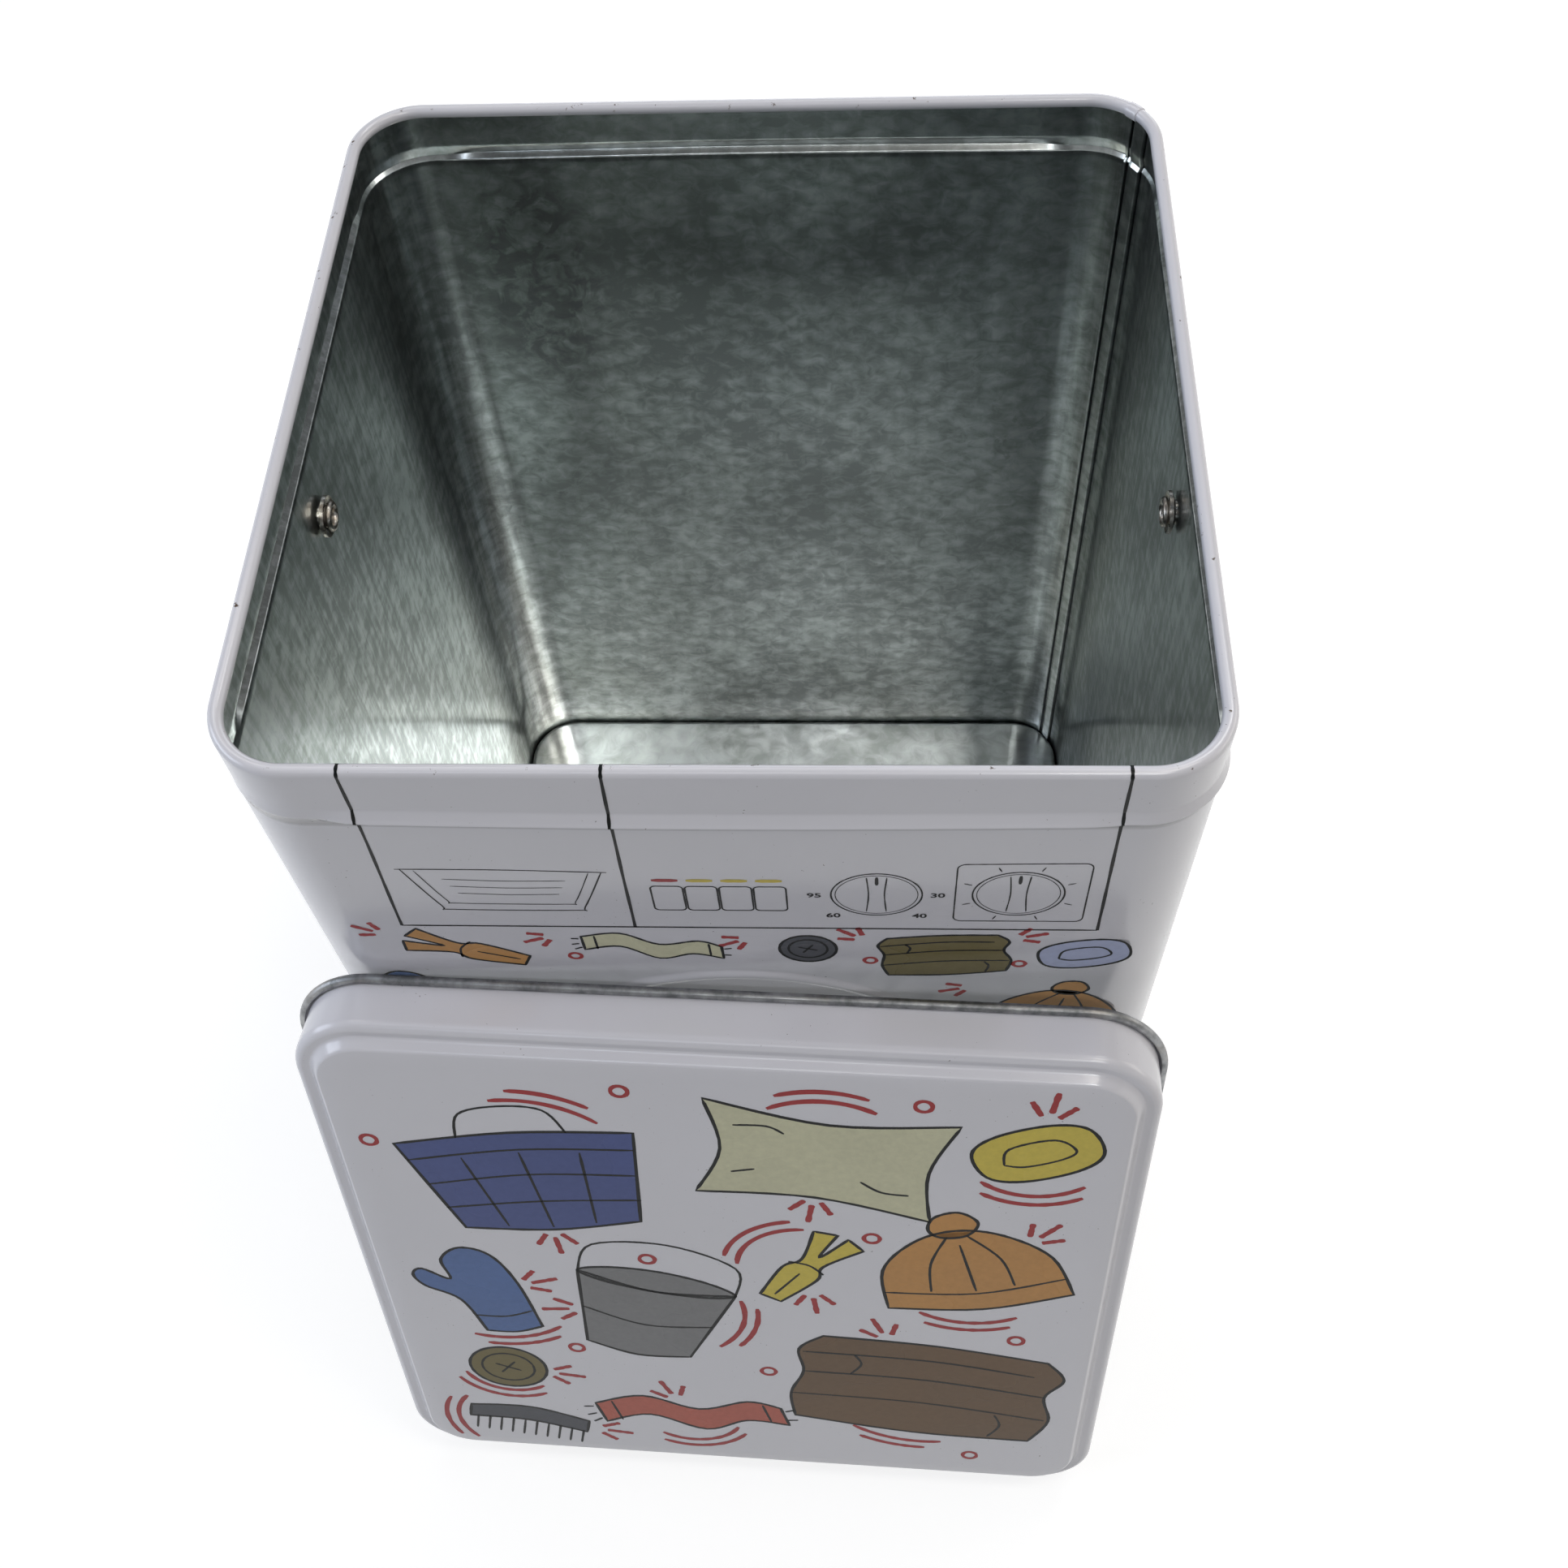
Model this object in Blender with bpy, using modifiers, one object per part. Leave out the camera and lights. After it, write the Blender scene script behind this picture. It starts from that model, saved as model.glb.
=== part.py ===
"""Square tinplate detergent canister, open, with its slip lid leaning on the front wall.

The body is one sheet: an inward curl at the rim, a neck that the lid slips over, a bead under
the neck, flat walls with a round embossed porthole ring on the front, and a lock seam inside
the back right corner. The base is double-seamed on. A wire bail with a wooden roller swings on
two tubular rivets and is stored hanging against the back wall. The front faces -Y.
"""

import math

import bmesh
import bpy
from mathutils import Matrix, Vector

# Body
WIDTH = 0.180
DEPTH = 0.180
HEIGHT = 0.2555
CORNER_RADIUS = 0.0156
SHEET = 0.0003
RIM_RADIUS = 0.0014
RIM_TURN = 290.0
NECK_DROP = 0.0114
BEAD_HEIGHT = 0.0043
BEAD_CREST = 0.0031
BEAD_PROUD = 0.0012

# Embossed porthole ring on the front wall
RING_RADIUS = 0.049
RING_HEIGHT = 0.1295
RING_WIDTH = 0.0040
RING_PROUD = 0.0009

# Lock seam inside the back right corner
LOCK_SEAM_ANGLE = 40.0
LOCK_SEAM_WIDTH = 0.005
LOCK_SEAM_THICKNESS = 0.0009

# Base and its double seam
PANEL_RECESS = 0.0065
PANEL_SHOULDER = 0.0015
END_SEAM_HEIGHT = 0.0031
END_SEAM_PROUD = 0.0014
BODY_LIP = 0.00075

# Lid
LID_CLEARANCE = 0.0003
LID_REST = 0.0014
LID_EDGE_RADIUS = 0.0020
LID_CURL_RADIUS = 0.0011
LID_CURL_TURN = 290.0
GROOVE_INSET = 0.0032
GROOVE_DEPTH = 0.0003
LID_STEP_WIDTH = 0.0026
LID_STEP_HEIGHT = 0.0021

# Where the lid stands
LEAN = math.radians(14.95)
TURN = math.radians(-2.3)
LID_STAND_X = -0.0042

# Bail, rivets and washers
PIVOT_BELOW_BEAD = 0.0148
PIVOT_FORWARD = 0.006
WIRE_RADIUS = 0.0018
BAIL_SWEEP = 0.012
BAIL_BEND = 0.014
EYE_WRAP = 260.0
ARM_CLEARANCE = 0.0015
JOGGLE_START = 0.002
JOGGLE_END = 0.012
STOP_SWELL = 1.5
STOP_LENGTH = 0.003
STOP_TAPER = 0.00075
GRIP_LENGTH = 0.088
GRIP_RADIUS = 0.010
GRIP_END_RADIUS = 0.0078
GRIP_EDGE = 0.0012
RIVET_RADIUS = 0.0025
RIVET_BORE = 0.0017
RIVET_HEAD_RADIUS = 0.0052
RIVET_HEAD_HEIGHT = 0.0016
RIVET_HEAD_EDGE = 0.0005
CLINCH_RADIUS = 0.0033
CLINCH_HEIGHT = 0.0012
WASHER_RADIUS = 0.0045
WASHER_THICKNESS = 0.0008
WASHER_DISH = 0.0006

# Fits
GAP = 0.0003
SHANK_CLEARANCE = 0.0003
HOLE_CUT = 0.01
EYE_CLEARANCE = 0.0007
GRIP_CLEARANCE = 0.0004
END_PLAY = 0.0005

# Facets
CORNER_STEPS = 8
CURL_STEPS = 9
BEAD_STEPS = 4
RIDGE_STEPS = 8
STEP_STEPS = 6
RING_STEPS = 64
TURN_STEPS = 24
EYE_STEPS = 13
BEND_STEPS = 6
JOGGLE_STEPS = 4
GRIP_STEPS = 8
DOME_STEPS = 4
WELD = 0.00001
SMOOTH_ANGLE = 40.0

# Derived places
HALF_WIDTH = WIDTH / 2
HALF_DEPTH = DEPTH / 2
BEAD_TOP = HEIGHT - NECK_DROP
BEAD_FOOT = BEAD_TOP - BEAD_HEIGHT
PIVOT_Y = -PIVOT_FORWARD
PIVOT_Z = BEAD_FOOT - PIVOT_BELOW_BEAD
LID_HALF_X = HALF_WIDTH + LID_CLEARANCE + SHEET
LID_HALF_Y = HALF_DEPTH + LID_CLEARANCE + SHEET
LID_CORNER = CORNER_RADIUS + LID_CLEARANCE + SHEET
LID_CURL_OFFSET = LID_CURL_RADIUS - SHEET
LID_DEPTH = NECK_DROP + SHEET + LID_REST
BAIL_REACH = HALF_DEPTH + PIVOT_FORWARD + GRIP_RADIUS + BAIL_SWEEP
EYE_OFFSET = GAP + WASHER_THICKNESS + GAP + WIRE_RADIUS
STOP_NEAR = GRIP_LENGTH / 2 + END_PLAY
STOP_FAR = STOP_NEAR + STOP_LENGTH
ARM_X = LID_HALF_X + LID_CURL_OFFSET + LID_CURL_RADIUS + ARM_CLEARANCE + WIRE_RADIUS

parts = bpy.data.collections.new("detergent_canister")
cutters = bpy.data.collections.new("cutters")


def clear_scene():
    for obj in list(bpy.data.objects):
        bpy.data.objects.remove(obj, do_unlink=True)
    bpy.context.scene.collection.children.link(parts)
    bpy.context.scene.collection.children.link(cutters)


def material(name, color, roughness, metallic):
    mat = bpy.data.materials.new(name)
    mat.use_nodes = True
    shader = mat.node_tree.nodes["Principled BSDF"]
    shader.inputs["Base Color"].default_value = (*color, 1.0)
    shader.inputs["Roughness"].default_value = roughness
    shader.inputs["Metallic"].default_value = metallic
    return mat


def add_mesh(name, mesh, mat=None, collection=parts):
    mesh.name = name
    obj = bpy.data.objects.new(name, mesh)
    collection.objects.link(obj)
    if mat:
        mesh.materials.clear()
        mesh.materials.append(mat)
    return obj


def add_empty(name, parent=None):
    empty = bpy.data.objects.new(name, None)
    parts.objects.link(empty)
    empty.parent = parent
    return empty


def smooth(obj):
    obj.data.shade_smooth()
    obj.data.set_sharp_from_angle(angle=math.radians(SMOOTH_ANGLE))


def as_cutter(obj):
    obj.hide_render = True
    obj.display_type = "WIRE"


def arc(cx, cy, radius, start, end, steps):
    """Points on a circular arc, angles in degrees, both ends included."""
    angles = [math.radians(start + (end - start) * i / steps) for i in range(steps + 1)]
    return [(cx + radius * math.cos(a), cy + radius * math.sin(a)) for a in angles]


def ease(t):
    return t * t * (3 - 2 * t)


def eased_run(start, end, steps):
    """S-shaped run between two profile points, even in height, without its first point."""
    run = []
    for i in range(1, steps + 1):
        t = i / steps
        run.append((start[0] + (end[0] - start[0]) * ease(t), start[1] + (end[1] - start[1]) * t))
    return run


def rounded_rectangle(half_x, half_y, radius, steps=CORNER_STEPS):
    """Outline counter-clockwise seen from above, each corner an arc."""
    points = []
    corners = ((1, 1, 0), (-1, 1, 90), (-1, -1, 180), (1, -1, 270))
    for sx, sy, start in corners:
        cx = sx * (half_x - radius)
        cy = sy * (half_y - radius)
        points += arc(cx, cy, radius, start, start + 90, steps)
    return points


def curve_object(name, points, cyclic, dimensions="3D"):
    curve = bpy.data.curves.new(name, "CURVE")
    curve.dimensions = dimensions
    spline = curve.splines.new("POLY")
    spline.points.add(len(points) - 1)
    for point, co in zip(spline.points, points):
        point.co = (*co, 0.0, 1.0) if len(co) == 2 else (*co, 1.0)
    spline.use_cyclic_u = cyclic
    obj = bpy.data.objects.new(name, curve)
    cutters.objects.link(obj)
    return obj


def curve_mesh(obj):
    """The curve's evaluated mesh, welded, with the curve removed."""
    bpy.context.view_layer.update()
    evaluated = obj.evaluated_get(bpy.context.evaluated_depsgraph_get())
    mesh = bpy.data.meshes.new_from_object(evaluated)
    bpy.data.objects.remove(obj, do_unlink=True)
    bm = bmesh.new()
    bm.from_mesh(mesh)
    bmesh.ops.remove_doubles(bm, verts=bm.verts, dist=WELD)
    bm.to_mesh(mesh)
    bm.free()
    return mesh


def swept_surface(name, profile, half_x, half_y, radius):
    """Open surface: a profile of (outward, up) points carried round a rounded rectangle."""
    outline = rounded_rectangle(half_x, half_y, radius)
    mirrored = [(-out, up) for out, up in profile]
    path = curve_object(name, outline, True, "2D")
    section = curve_object(name + "_section", mirrored, False, "2D")
    path.data.bevel_mode = "OBJECT"
    path.data.bevel_object = section
    mesh = curve_mesh(path)
    bpy.data.objects.remove(section, do_unlink=True)
    return mesh


def close_panel(mesh, height):
    """Fills the flat opening whose edge lies at this height."""
    bm = bmesh.new()
    bm.from_mesh(mesh)
    edges = [e for e in bm.edges if e.is_boundary and all(abs(v.co.z - height) < 1e-6 for v in e.verts)]
    bmesh.ops.contextual_create(bm, geom=edges)
    bmesh.ops.recalc_face_normals(bm, faces=bm.faces)
    bm.to_mesh(mesh)
    bm.free()


def face_outward(mesh, point, outward):
    """Turns an open surface over if the face nearest to a point doesn't look outward."""
    bm = bmesh.new()
    bm.from_mesh(mesh)
    nearest = min(bm.faces, key=lambda f: (f.calc_center_median() - Vector(point)).length)
    if nearest.normal.dot(Vector(outward)) < 0:
        bmesh.ops.reverse_faces(bm, faces=bm.faces)
    bm.to_mesh(mesh)
    bm.free()


def thicken(obj):
    sheet = obj.modifiers.new("sheet", "SOLIDIFY")
    sheet.thickness = SHEET
    sheet.offset = -1
    sheet.use_even_offset = True


def boolean(obj, other, operation):
    modifier = obj.modifiers.new(other.name, "BOOLEAN")
    modifier.operation = operation
    modifier.object = other
    modifier.solver = "EXACT"


def turned(name, profile, mat=None, collection=parts, steps=TURN_STEPS, closed=False):
    """Profile of (radius, height) points turned about Z, outer side running downward."""
    mesh = bpy.data.meshes.new(name)
    count = len(profile)
    edges = [(i, i + 1) for i in range(count - 1)]
    if closed:
        edges.append((count - 1, 0))
    mesh.from_pydata([(r, 0.0, z) for r, z in profile], edges, [])
    obj = add_mesh(name, mesh, mat, collection)
    screw = obj.modifiers.new("turn", "SCREW")
    screw.steps = steps
    screw.render_steps = steps
    screw.use_merge_vertices = True
    screw.merge_threshold = WELD
    screw.use_smooth_shade = True
    return obj


def body_profile():
    """Lacquered side of the body sheet, from the curl's tip down to the lip in the end seam."""
    rim = arc(-RIM_RADIUS, HEIGHT - RIM_RADIUS, RIM_RADIUS, RIM_TURN, 0, CURL_STEPS)
    bead_start = (0.0, BEAD_TOP)
    crest = (BEAD_PROUD, BEAD_TOP - BEAD_CREST)
    foot = (0.0, BEAD_FOOT)
    bead = eased_run(bead_start, crest, BEAD_STEPS) + eased_run(crest, foot, BEAD_STEPS)
    lip_end = (BODY_LIP, SHEET + 1.5 * GAP)
    lip_start = (0.0, END_SEAM_HEIGHT - 3 * SHEET)
    return rim + [bead_start] + bead + [lip_start] + eased_run(lip_start, lip_end, 3)


def porthole_ring(name, half_width, crest, skirt, depth):
    """Low ring with a parabolic back, its axis along Y, lying on the front wall."""
    section = []
    for i in range(RIDGE_STEPS + 1):
        t = -1 + 2 * i / RIDGE_STEPS
        section.append((RING_RADIUS + half_width * t, crest - (crest + skirt) * t * t))
    section += [(RING_RADIUS + half_width, -depth), (RING_RADIUS - half_width, -depth)]
    ring = turned(name, section, None, cutters, RING_STEPS, closed=True)
    ring.rotation_euler = (math.pi / 2, 0, 0)
    ring.location = (0, -HALF_DEPTH, RING_HEIGHT)
    as_cutter(ring)
    return ring


def lock_seam_strip(name, outer_radius, low, high):
    """Upright strip with arc faces inside the back right corner."""
    inner_radius = outer_radius - SHEET / 2 - LOCK_SEAM_THICKNESS
    spread = math.degrees(LOCK_SEAM_WIDTH / 2 / inner_radius)
    cx = HALF_WIDTH - CORNER_RADIUS
    cy = HALF_DEPTH - CORNER_RADIUS
    start = LOCK_SEAM_ANGLE - spread
    end = LOCK_SEAM_ANGLE + spread
    outline = arc(cx, cy, outer_radius, start, end, 4) + arc(cx, cy, inner_radius, end, start, 4)
    strip = curve_object(name, outline, True, "2D")
    strip.data.fill_mode = "BOTH"
    strip.data.extrude = (high - low) / 2
    strip.location.z = (high + low) / 2
    matrix = Matrix.Translation(strip.location)
    mesh = curve_mesh(strip)
    mesh.transform(matrix)
    obj = add_mesh(name, mesh, None, cutters)
    as_cutter(obj)
    return obj


def rivet_hole(name, side):
    bpy.ops.mesh.primitive_cylinder_add(
        vertices=TURN_STEPS, radius=RIVET_RADIUS + SHANK_CLEARANCE, depth=HOLE_CUT,
        location=(side * HALF_WIDTH, PIVOT_Y, PIVOT_Z), rotation=(0, math.pi / 2, 0))
    hole = bpy.context.object
    hole.name = name
    for collection in list(hole.users_collection):
        collection.objects.unlink(hole)
    cutters.objects.link(hole)
    as_cutter(hole)
    return hole


def make_body(enamel):
    mesh = swept_surface("body_shell", body_profile(), HALF_WIDTH, HALF_DEPTH, CORNER_RADIUS)
    face_outward(mesh, (HALF_WIDTH, 0, HEIGHT / 2), (1, 0, 0))
    body = add_mesh("body_shell", mesh, enamel)
    smooth(body)
    thicken(body)
    seam_foot = PANEL_RECESS + SHEET + 2 * GAP
    seam_top = HEIGHT - 2 * RIM_RADIUS - 2 * GAP
    seam = lock_seam_strip("lock_seam", CORNER_RADIUS - SHEET / 2, seam_foot, seam_top)
    boolean(body, seam, "UNION")
    half = RING_WIDTH / 2
    raised = porthole_ring("porthole_raised", half, RING_PROUD, SHEET / 2, SHEET * 0.6)
    hollow = porthole_ring("porthole_hollow", half - SHEET, RING_PROUD - SHEET, 2 * SHEET, 4 * SHEET)
    boolean(body, raised, "UNION")
    boolean(body, hollow, "DIFFERENCE")
    for side, label in ((-1, "left"), (1, "right")):
        boolean(body, rivet_hole("rivet_hole_" + label, side), "DIFFERENCE")
    return body


def base_profile():
    """Outside of the base sheet, from the recessed panel out to the hook of the end seam."""
    chuck = -GAP - 2 * SHEET
    shoulder = PANEL_SHOULDER - SHEET
    hook = END_SEAM_PROUD
    foot = 2 * SHEET
    panel = arc(chuck - shoulder, PANEL_RECESS - shoulder, shoulder, 90, 0, 4)
    toe = arc(chuck + foot, foot, foot, 180, 270, 3)
    heel = arc(hook - foot, foot, foot, 270, 360, 3)
    crown = 0.5 * (END_SEAM_PROUD - GAP)
    top = arc(hook - crown, END_SEAM_HEIGHT - crown, crown, 0, 170, 6)
    return panel + toe + heel + top


def make_base(tinplate):
    mesh = swept_surface("base_panel", base_profile(), HALF_WIDTH, HALF_DEPTH, CORNER_RADIUS)
    close_panel(mesh, PANEL_RECESS)
    face_outward(mesh, (0, 0, PANEL_RECESS), (0, 0, -1))
    base = add_mesh("base_panel", mesh, tinplate)
    smooth(base)
    thicken(base)
    return base


def lid_profile():
    """Lacquered side of the lid sheet, from the raised panel to the tip of the bare curl.

    Height 0 is the plane of the curl's centre line.
    """
    flange = LID_DEPTH - LID_CURL_RADIUS
    panel_edge = (-GROOVE_INSET - LID_STEP_WIDTH, flange + LID_STEP_HEIGHT)
    groove = (-GROOVE_INSET, flange - GROOVE_DEPTH)
    step = [panel_edge]
    for i in range(1, STEP_STEPS + 1):
        t = i / STEP_STEPS
        out = panel_edge[0] + (groove[0] - panel_edge[0]) * t
        step.append((out, panel_edge[1] + (groove[1] - panel_edge[1]) * ease(t)))
    edge = arc(-LID_EDGE_RADIUS, flange - LID_EDGE_RADIUS, LID_EDGE_RADIUS, 90, 0, 5)
    curl = arc(LID_CURL_OFFSET, 0.0, LID_CURL_RADIUS - SHEET, 180, 180 + LID_CURL_TURN, CURL_STEPS)
    return step + edge + curl


def make_lid(enamel, stance):
    mesh = swept_surface("lid", lid_profile(), LID_HALF_X, LID_HALF_Y, LID_CORNER)
    top = LID_DEPTH - LID_CURL_RADIUS + LID_STEP_HEIGHT
    close_panel(mesh, top)
    face_outward(mesh, (0, 0, top), (0, 0, 1))
    lid = add_mesh("lid", mesh, enamel)
    smooth(lid)
    thicken(lid)
    lid.parent = stance
    return lid


def stand_lid(stance):
    """Leans the lid on the front wall: its curl stands on the floor and its top corner meets the wall."""
    turn = Matrix.Rotation(TURN, 3, "Z")
    across = turn @ Vector((1, 0, 0))
    along = turn @ Vector((0, math.sin(LEAN), math.cos(LEAN)))
    outward = across.cross(along)
    half_x = LID_HALF_X + LID_CURL_OFFSET
    half_y = LID_HALF_Y + LID_CURL_OFFSET
    radius = LID_CORNER + LID_CURL_OFFSET
    tube = LID_CURL_RADIUS / math.cos(math.radians(LID_CURL_TURN / CURL_STEPS / 2))

    def reach(axis):
        a = abs(across[axis])
        b = abs(along[axis])
        straight = (half_x - radius) * a + (half_y - radius) * b
        return straight + radius * math.hypot(a, b) + tube

    rotation = Matrix((across, along, outward)).transposed().to_4x4()
    place = Vector((LID_STAND_X, -HALF_DEPTH - GAP - reach(1), reach(2)))
    stance.matrix_local = Matrix.Translation(place) @ rotation


def bail_points():
    """Wire's centre line from the left eye to the right one; the pivot axis is X, the arms run along +Y."""
    eye_radius = RIVET_RADIUS + EYE_CLEARANCE + WIRE_RADIUS
    eye_x = HALF_WIDTH + EYE_OFFSET
    side = [(eye_x, y, z) for y, z in arc(0, 0, eye_radius, 90 + EYE_WRAP, 90, EYE_STEPS)]
    for i in range(JOGGLE_STEPS + 1):
        t = i / JOGGLE_STEPS
        y = JOGGLE_START + (JOGGLE_END - JOGGLE_START) * t
        z = eye_radius * (1 - y / (BAIL_REACH - BAIL_BEND))
        side.append((eye_x + (ARM_X - eye_x) * ease(t), y, z))
    bend = arc(ARM_X - BAIL_BEND, BAIL_REACH - BAIL_BEND, BAIL_BEND, 0, 90, BEND_STEPS)
    side += [(x, y, 0.0) for x, y in bend]
    for x in (STOP_FAR, STOP_FAR - STOP_TAPER, STOP_NEAR + STOP_TAPER, STOP_NEAR):
        side.append((x, BAIL_REACH, 0.0))
    mirrored = [(-x, y, z) for x, y, z in side]
    return mirrored + side[::-1]


def make_bail(steel, pivot):
    wire = curve_object("bail_wire", bail_points(), False)
    for point in wire.data.splines[0].points:
        if STOP_NEAR + WELD < abs(point.co.x) < STOP_FAR - WELD:
            point.radius = STOP_SWELL
    wire.data.bevel_depth = WIRE_RADIUS
    wire.data.bevel_resolution = 2
    wire.data.use_fill_caps = True
    bail = add_mesh("bail_wire", curve_mesh(wire), steel)
    smooth(bail)
    bail.parent = pivot
    return bail


def make_grip(wood, pivot):
    bore = WIRE_RADIUS + GRIP_CLEARANCE
    half = GRIP_LENGTH / 2
    outside = [(GRIP_END_RADIUS - GRIP_EDGE, half), (GRIP_END_RADIUS, half - GRIP_EDGE)]
    for i in range(1, GRIP_STEPS):
        t = -1 + 2 * i / GRIP_STEPS
        swell = GRIP_RADIUS - (GRIP_RADIUS - GRIP_END_RADIUS) * t * t
        outside.append((swell, -t * (half - GRIP_EDGE)))
    outside += [(GRIP_END_RADIUS, -half + GRIP_EDGE), (GRIP_END_RADIUS - GRIP_EDGE, -half)]
    grip = turned("bail_grip", outside + [(bore, -half), (bore, half)], wood, closed=True)
    grip.parent = pivot
    grip.location = (0, BAIL_REACH, 0)
    grip.rotation_euler = (0, math.pi / 2, 0)
    return grip


def outward_frame(obj, side, root):
    """Places a turned piece at a side wall's pivot, its height axis pointing away from the wall."""
    obj.parent = root
    obj.location = (side * HALF_WIDTH, PIVOT_Y, PIVOT_Z)
    obj.rotation_euler = (0, side * math.pi / 2, 0)


def washer_profile(low, dish=0.0):
    """Washer whose rim stands off the wall by its dish."""
    hole = RIVET_RADIUS + SHANK_CLEARANCE
    high = low + WASHER_THICKNESS
    return [(hole, high), (WASHER_RADIUS, high - dish), (WASHER_RADIUS, low - dish), (hole, low)]


def rivet_profile():
    """Tubular rivet from its domed head outside to its clinched end inside; height 0 is the wall's face."""
    head = EYE_OFFSET + WIRE_RADIUS + GAP
    clinch = -SHEET - GAP - WASHER_THICKNESS - WASHER_DISH / 2 - GAP
    end = clinch - CLINCH_HEIGHT
    lip = (CLINCH_RADIUS - RIVET_BORE) / 2
    crown = RIVET_HEAD_HEIGHT - RIVET_HEAD_EDGE
    dome = [(0.0, head + RIVET_HEAD_HEIGHT)]
    for x, y in arc(0.0, 0.0, 1.0, 90, 0, DOME_STEPS)[1:]:
        dome.append((RIVET_HEAD_RADIUS * x, head + RIVET_HEAD_EDGE + crown * y))
    rolled = arc(RIVET_BORE + lip, end + CLINCH_HEIGHT / 2, lip, 60, -180, 6)
    rolled = [(r, min(z, clinch)) for r, z in rolled]
    inside = [(RIVET_BORE, end + CLINCH_HEIGHT), (RIVET_BORE, 0.0), (0.0, 0.0)]
    return dome + [(RIVET_HEAD_RADIUS, head), (RIVET_RADIUS, head), (RIVET_RADIUS, clinch)] + rolled + inside


def make_fasteners(steel, root):
    for side, label in ((-1, "left"), (1, "right")):
        rivet = turned("rivet_" + label, rivet_profile(), steel)
        outward_frame(rivet, side, root)
        inner = turned("inner_washer_" + label, washer_profile(-SHEET - GAP - WASHER_THICKNESS, WASHER_DISH), steel, closed=True)
        outward_frame(inner, side, root)
        outer = turned("outer_washer_" + label, washer_profile(GAP), steel, closed=True)
        outward_frame(outer, side, root)


def rest_swing():
    """Angle below the horizontal at which the roller meets the back wall."""
    across = HALF_DEPTH + GAP + GRIP_RADIUS - PIVOT_Y
    return math.acos(across / BAIL_REACH)


def centre_footprint(root):
    """Moves the canister so that its outline is centred on the origin."""
    bpy.context.view_layer.update()
    graph = bpy.context.evaluated_depsgraph_get()
    xs = []
    ys = []
    for obj in parts.objects:
        if obj.type == "MESH":
            corners = [obj.matrix_world @ v.co for v in obj.evaluated_get(graph).data.vertices]
            xs += [c.x for c in corners]
            ys += [c.y for c in corners]
    root.location = (-(min(xs) + max(xs)) / 2, -(min(ys) + max(ys)) / 2, 0)


def build():
    clear_scene()
    enamel = material("white_lacquer", (0.78, 0.77, 0.82), 0.25, 0.0)
    tinplate = material("bare_tinplate", (0.42, 0.45, 0.45), 0.35, 1.0)
    steel = material("zinc_steel", (0.50, 0.50, 0.49), 0.35, 1.0)
    wood = material("turned_beech", (0.62, 0.42, 0.24), 0.55, 0.0)

    root = add_empty("canister")
    body = make_body(enamel)
    base = make_base(tinplate)
    body.parent = root
    base.parent = root
    for cutter in cutters.objects:
        cutter.parent = root

    stance = add_empty("lid_stance", root)
    stand_lid(stance)
    make_lid(enamel, stance)

    pivot = add_empty("bail_pivot", root)
    pivot.location = (0, PIVOT_Y, PIVOT_Z)
    pivot.rotation_euler = (-rest_swing(), 0, 0)
    make_bail(steel, pivot)
    make_grip(wood, pivot)
    make_fasteners(steel, root)
    centre_footprint(root)


build()
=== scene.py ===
import math

import bmesh
import bpy
from mathutils import Matrix, Vector
from mathutils.geometry import delaunay_2d_cdt


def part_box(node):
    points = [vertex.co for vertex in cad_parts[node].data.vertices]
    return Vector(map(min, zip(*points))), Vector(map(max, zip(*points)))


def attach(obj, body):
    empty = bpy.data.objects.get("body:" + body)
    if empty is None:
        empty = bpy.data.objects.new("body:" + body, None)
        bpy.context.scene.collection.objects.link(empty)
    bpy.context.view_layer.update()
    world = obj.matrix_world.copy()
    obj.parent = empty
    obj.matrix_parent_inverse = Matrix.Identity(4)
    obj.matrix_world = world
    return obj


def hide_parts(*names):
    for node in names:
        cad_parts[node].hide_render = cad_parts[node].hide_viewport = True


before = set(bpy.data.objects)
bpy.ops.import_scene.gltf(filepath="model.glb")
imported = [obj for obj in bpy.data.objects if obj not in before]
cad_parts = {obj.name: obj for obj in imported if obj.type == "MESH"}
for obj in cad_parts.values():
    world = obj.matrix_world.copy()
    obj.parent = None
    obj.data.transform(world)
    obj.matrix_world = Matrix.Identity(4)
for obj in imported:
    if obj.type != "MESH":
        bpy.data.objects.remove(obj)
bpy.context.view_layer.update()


# Body shell
# One strip of tinplate, white lacquered outside and bare inside, folded round into a square can with a
# lock seam in the back right corner. The rim is curled inwards, the neck that takes the lid ends in a
# rolled bead, and a round porthole ring is embossed on the front wall.

tin_low, tin_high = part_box("body_shell")
TIN_Y = (tin_low.y + tin_high.y) / 2
HALF = 0.090
HEIGHT = 0.2555
CORNER = 0.0156
SHEET = 0.0003
RIM_R = 0.0014
BEAD_TOP = HEIGHT - 0.0114
BEAD_CREST = BEAD_TOP - 0.0031
BEAD_FOOT = BEAD_TOP - 0.0043
BEAD_PROUD = 0.0012
RING_R = 0.049
RING_Z = 0.1295
RING_HALF = 0.0024
RING_PROUD = 0.0009


def arc(cx, cy, radius, start, end, steps):
    out = []
    for i in range(steps + 1):
        a = math.radians(start + (end - start) * i / steps)
        out.append((cx + radius * math.cos(a), cy + radius * math.sin(a)))
    return out


def ease(t):
    return t * t * (3 - 2 * t)


def eased(start, end, steps):
    out = []
    for i in range(1, steps + 1):
        t = i / steps
        out.append((start[0] + (end[0] - start[0]) * ease(t), start[1] + (end[1] - start[1]) * t))
    return out


def link(tree, a, b):
    tree.links.new(a, b)


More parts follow.
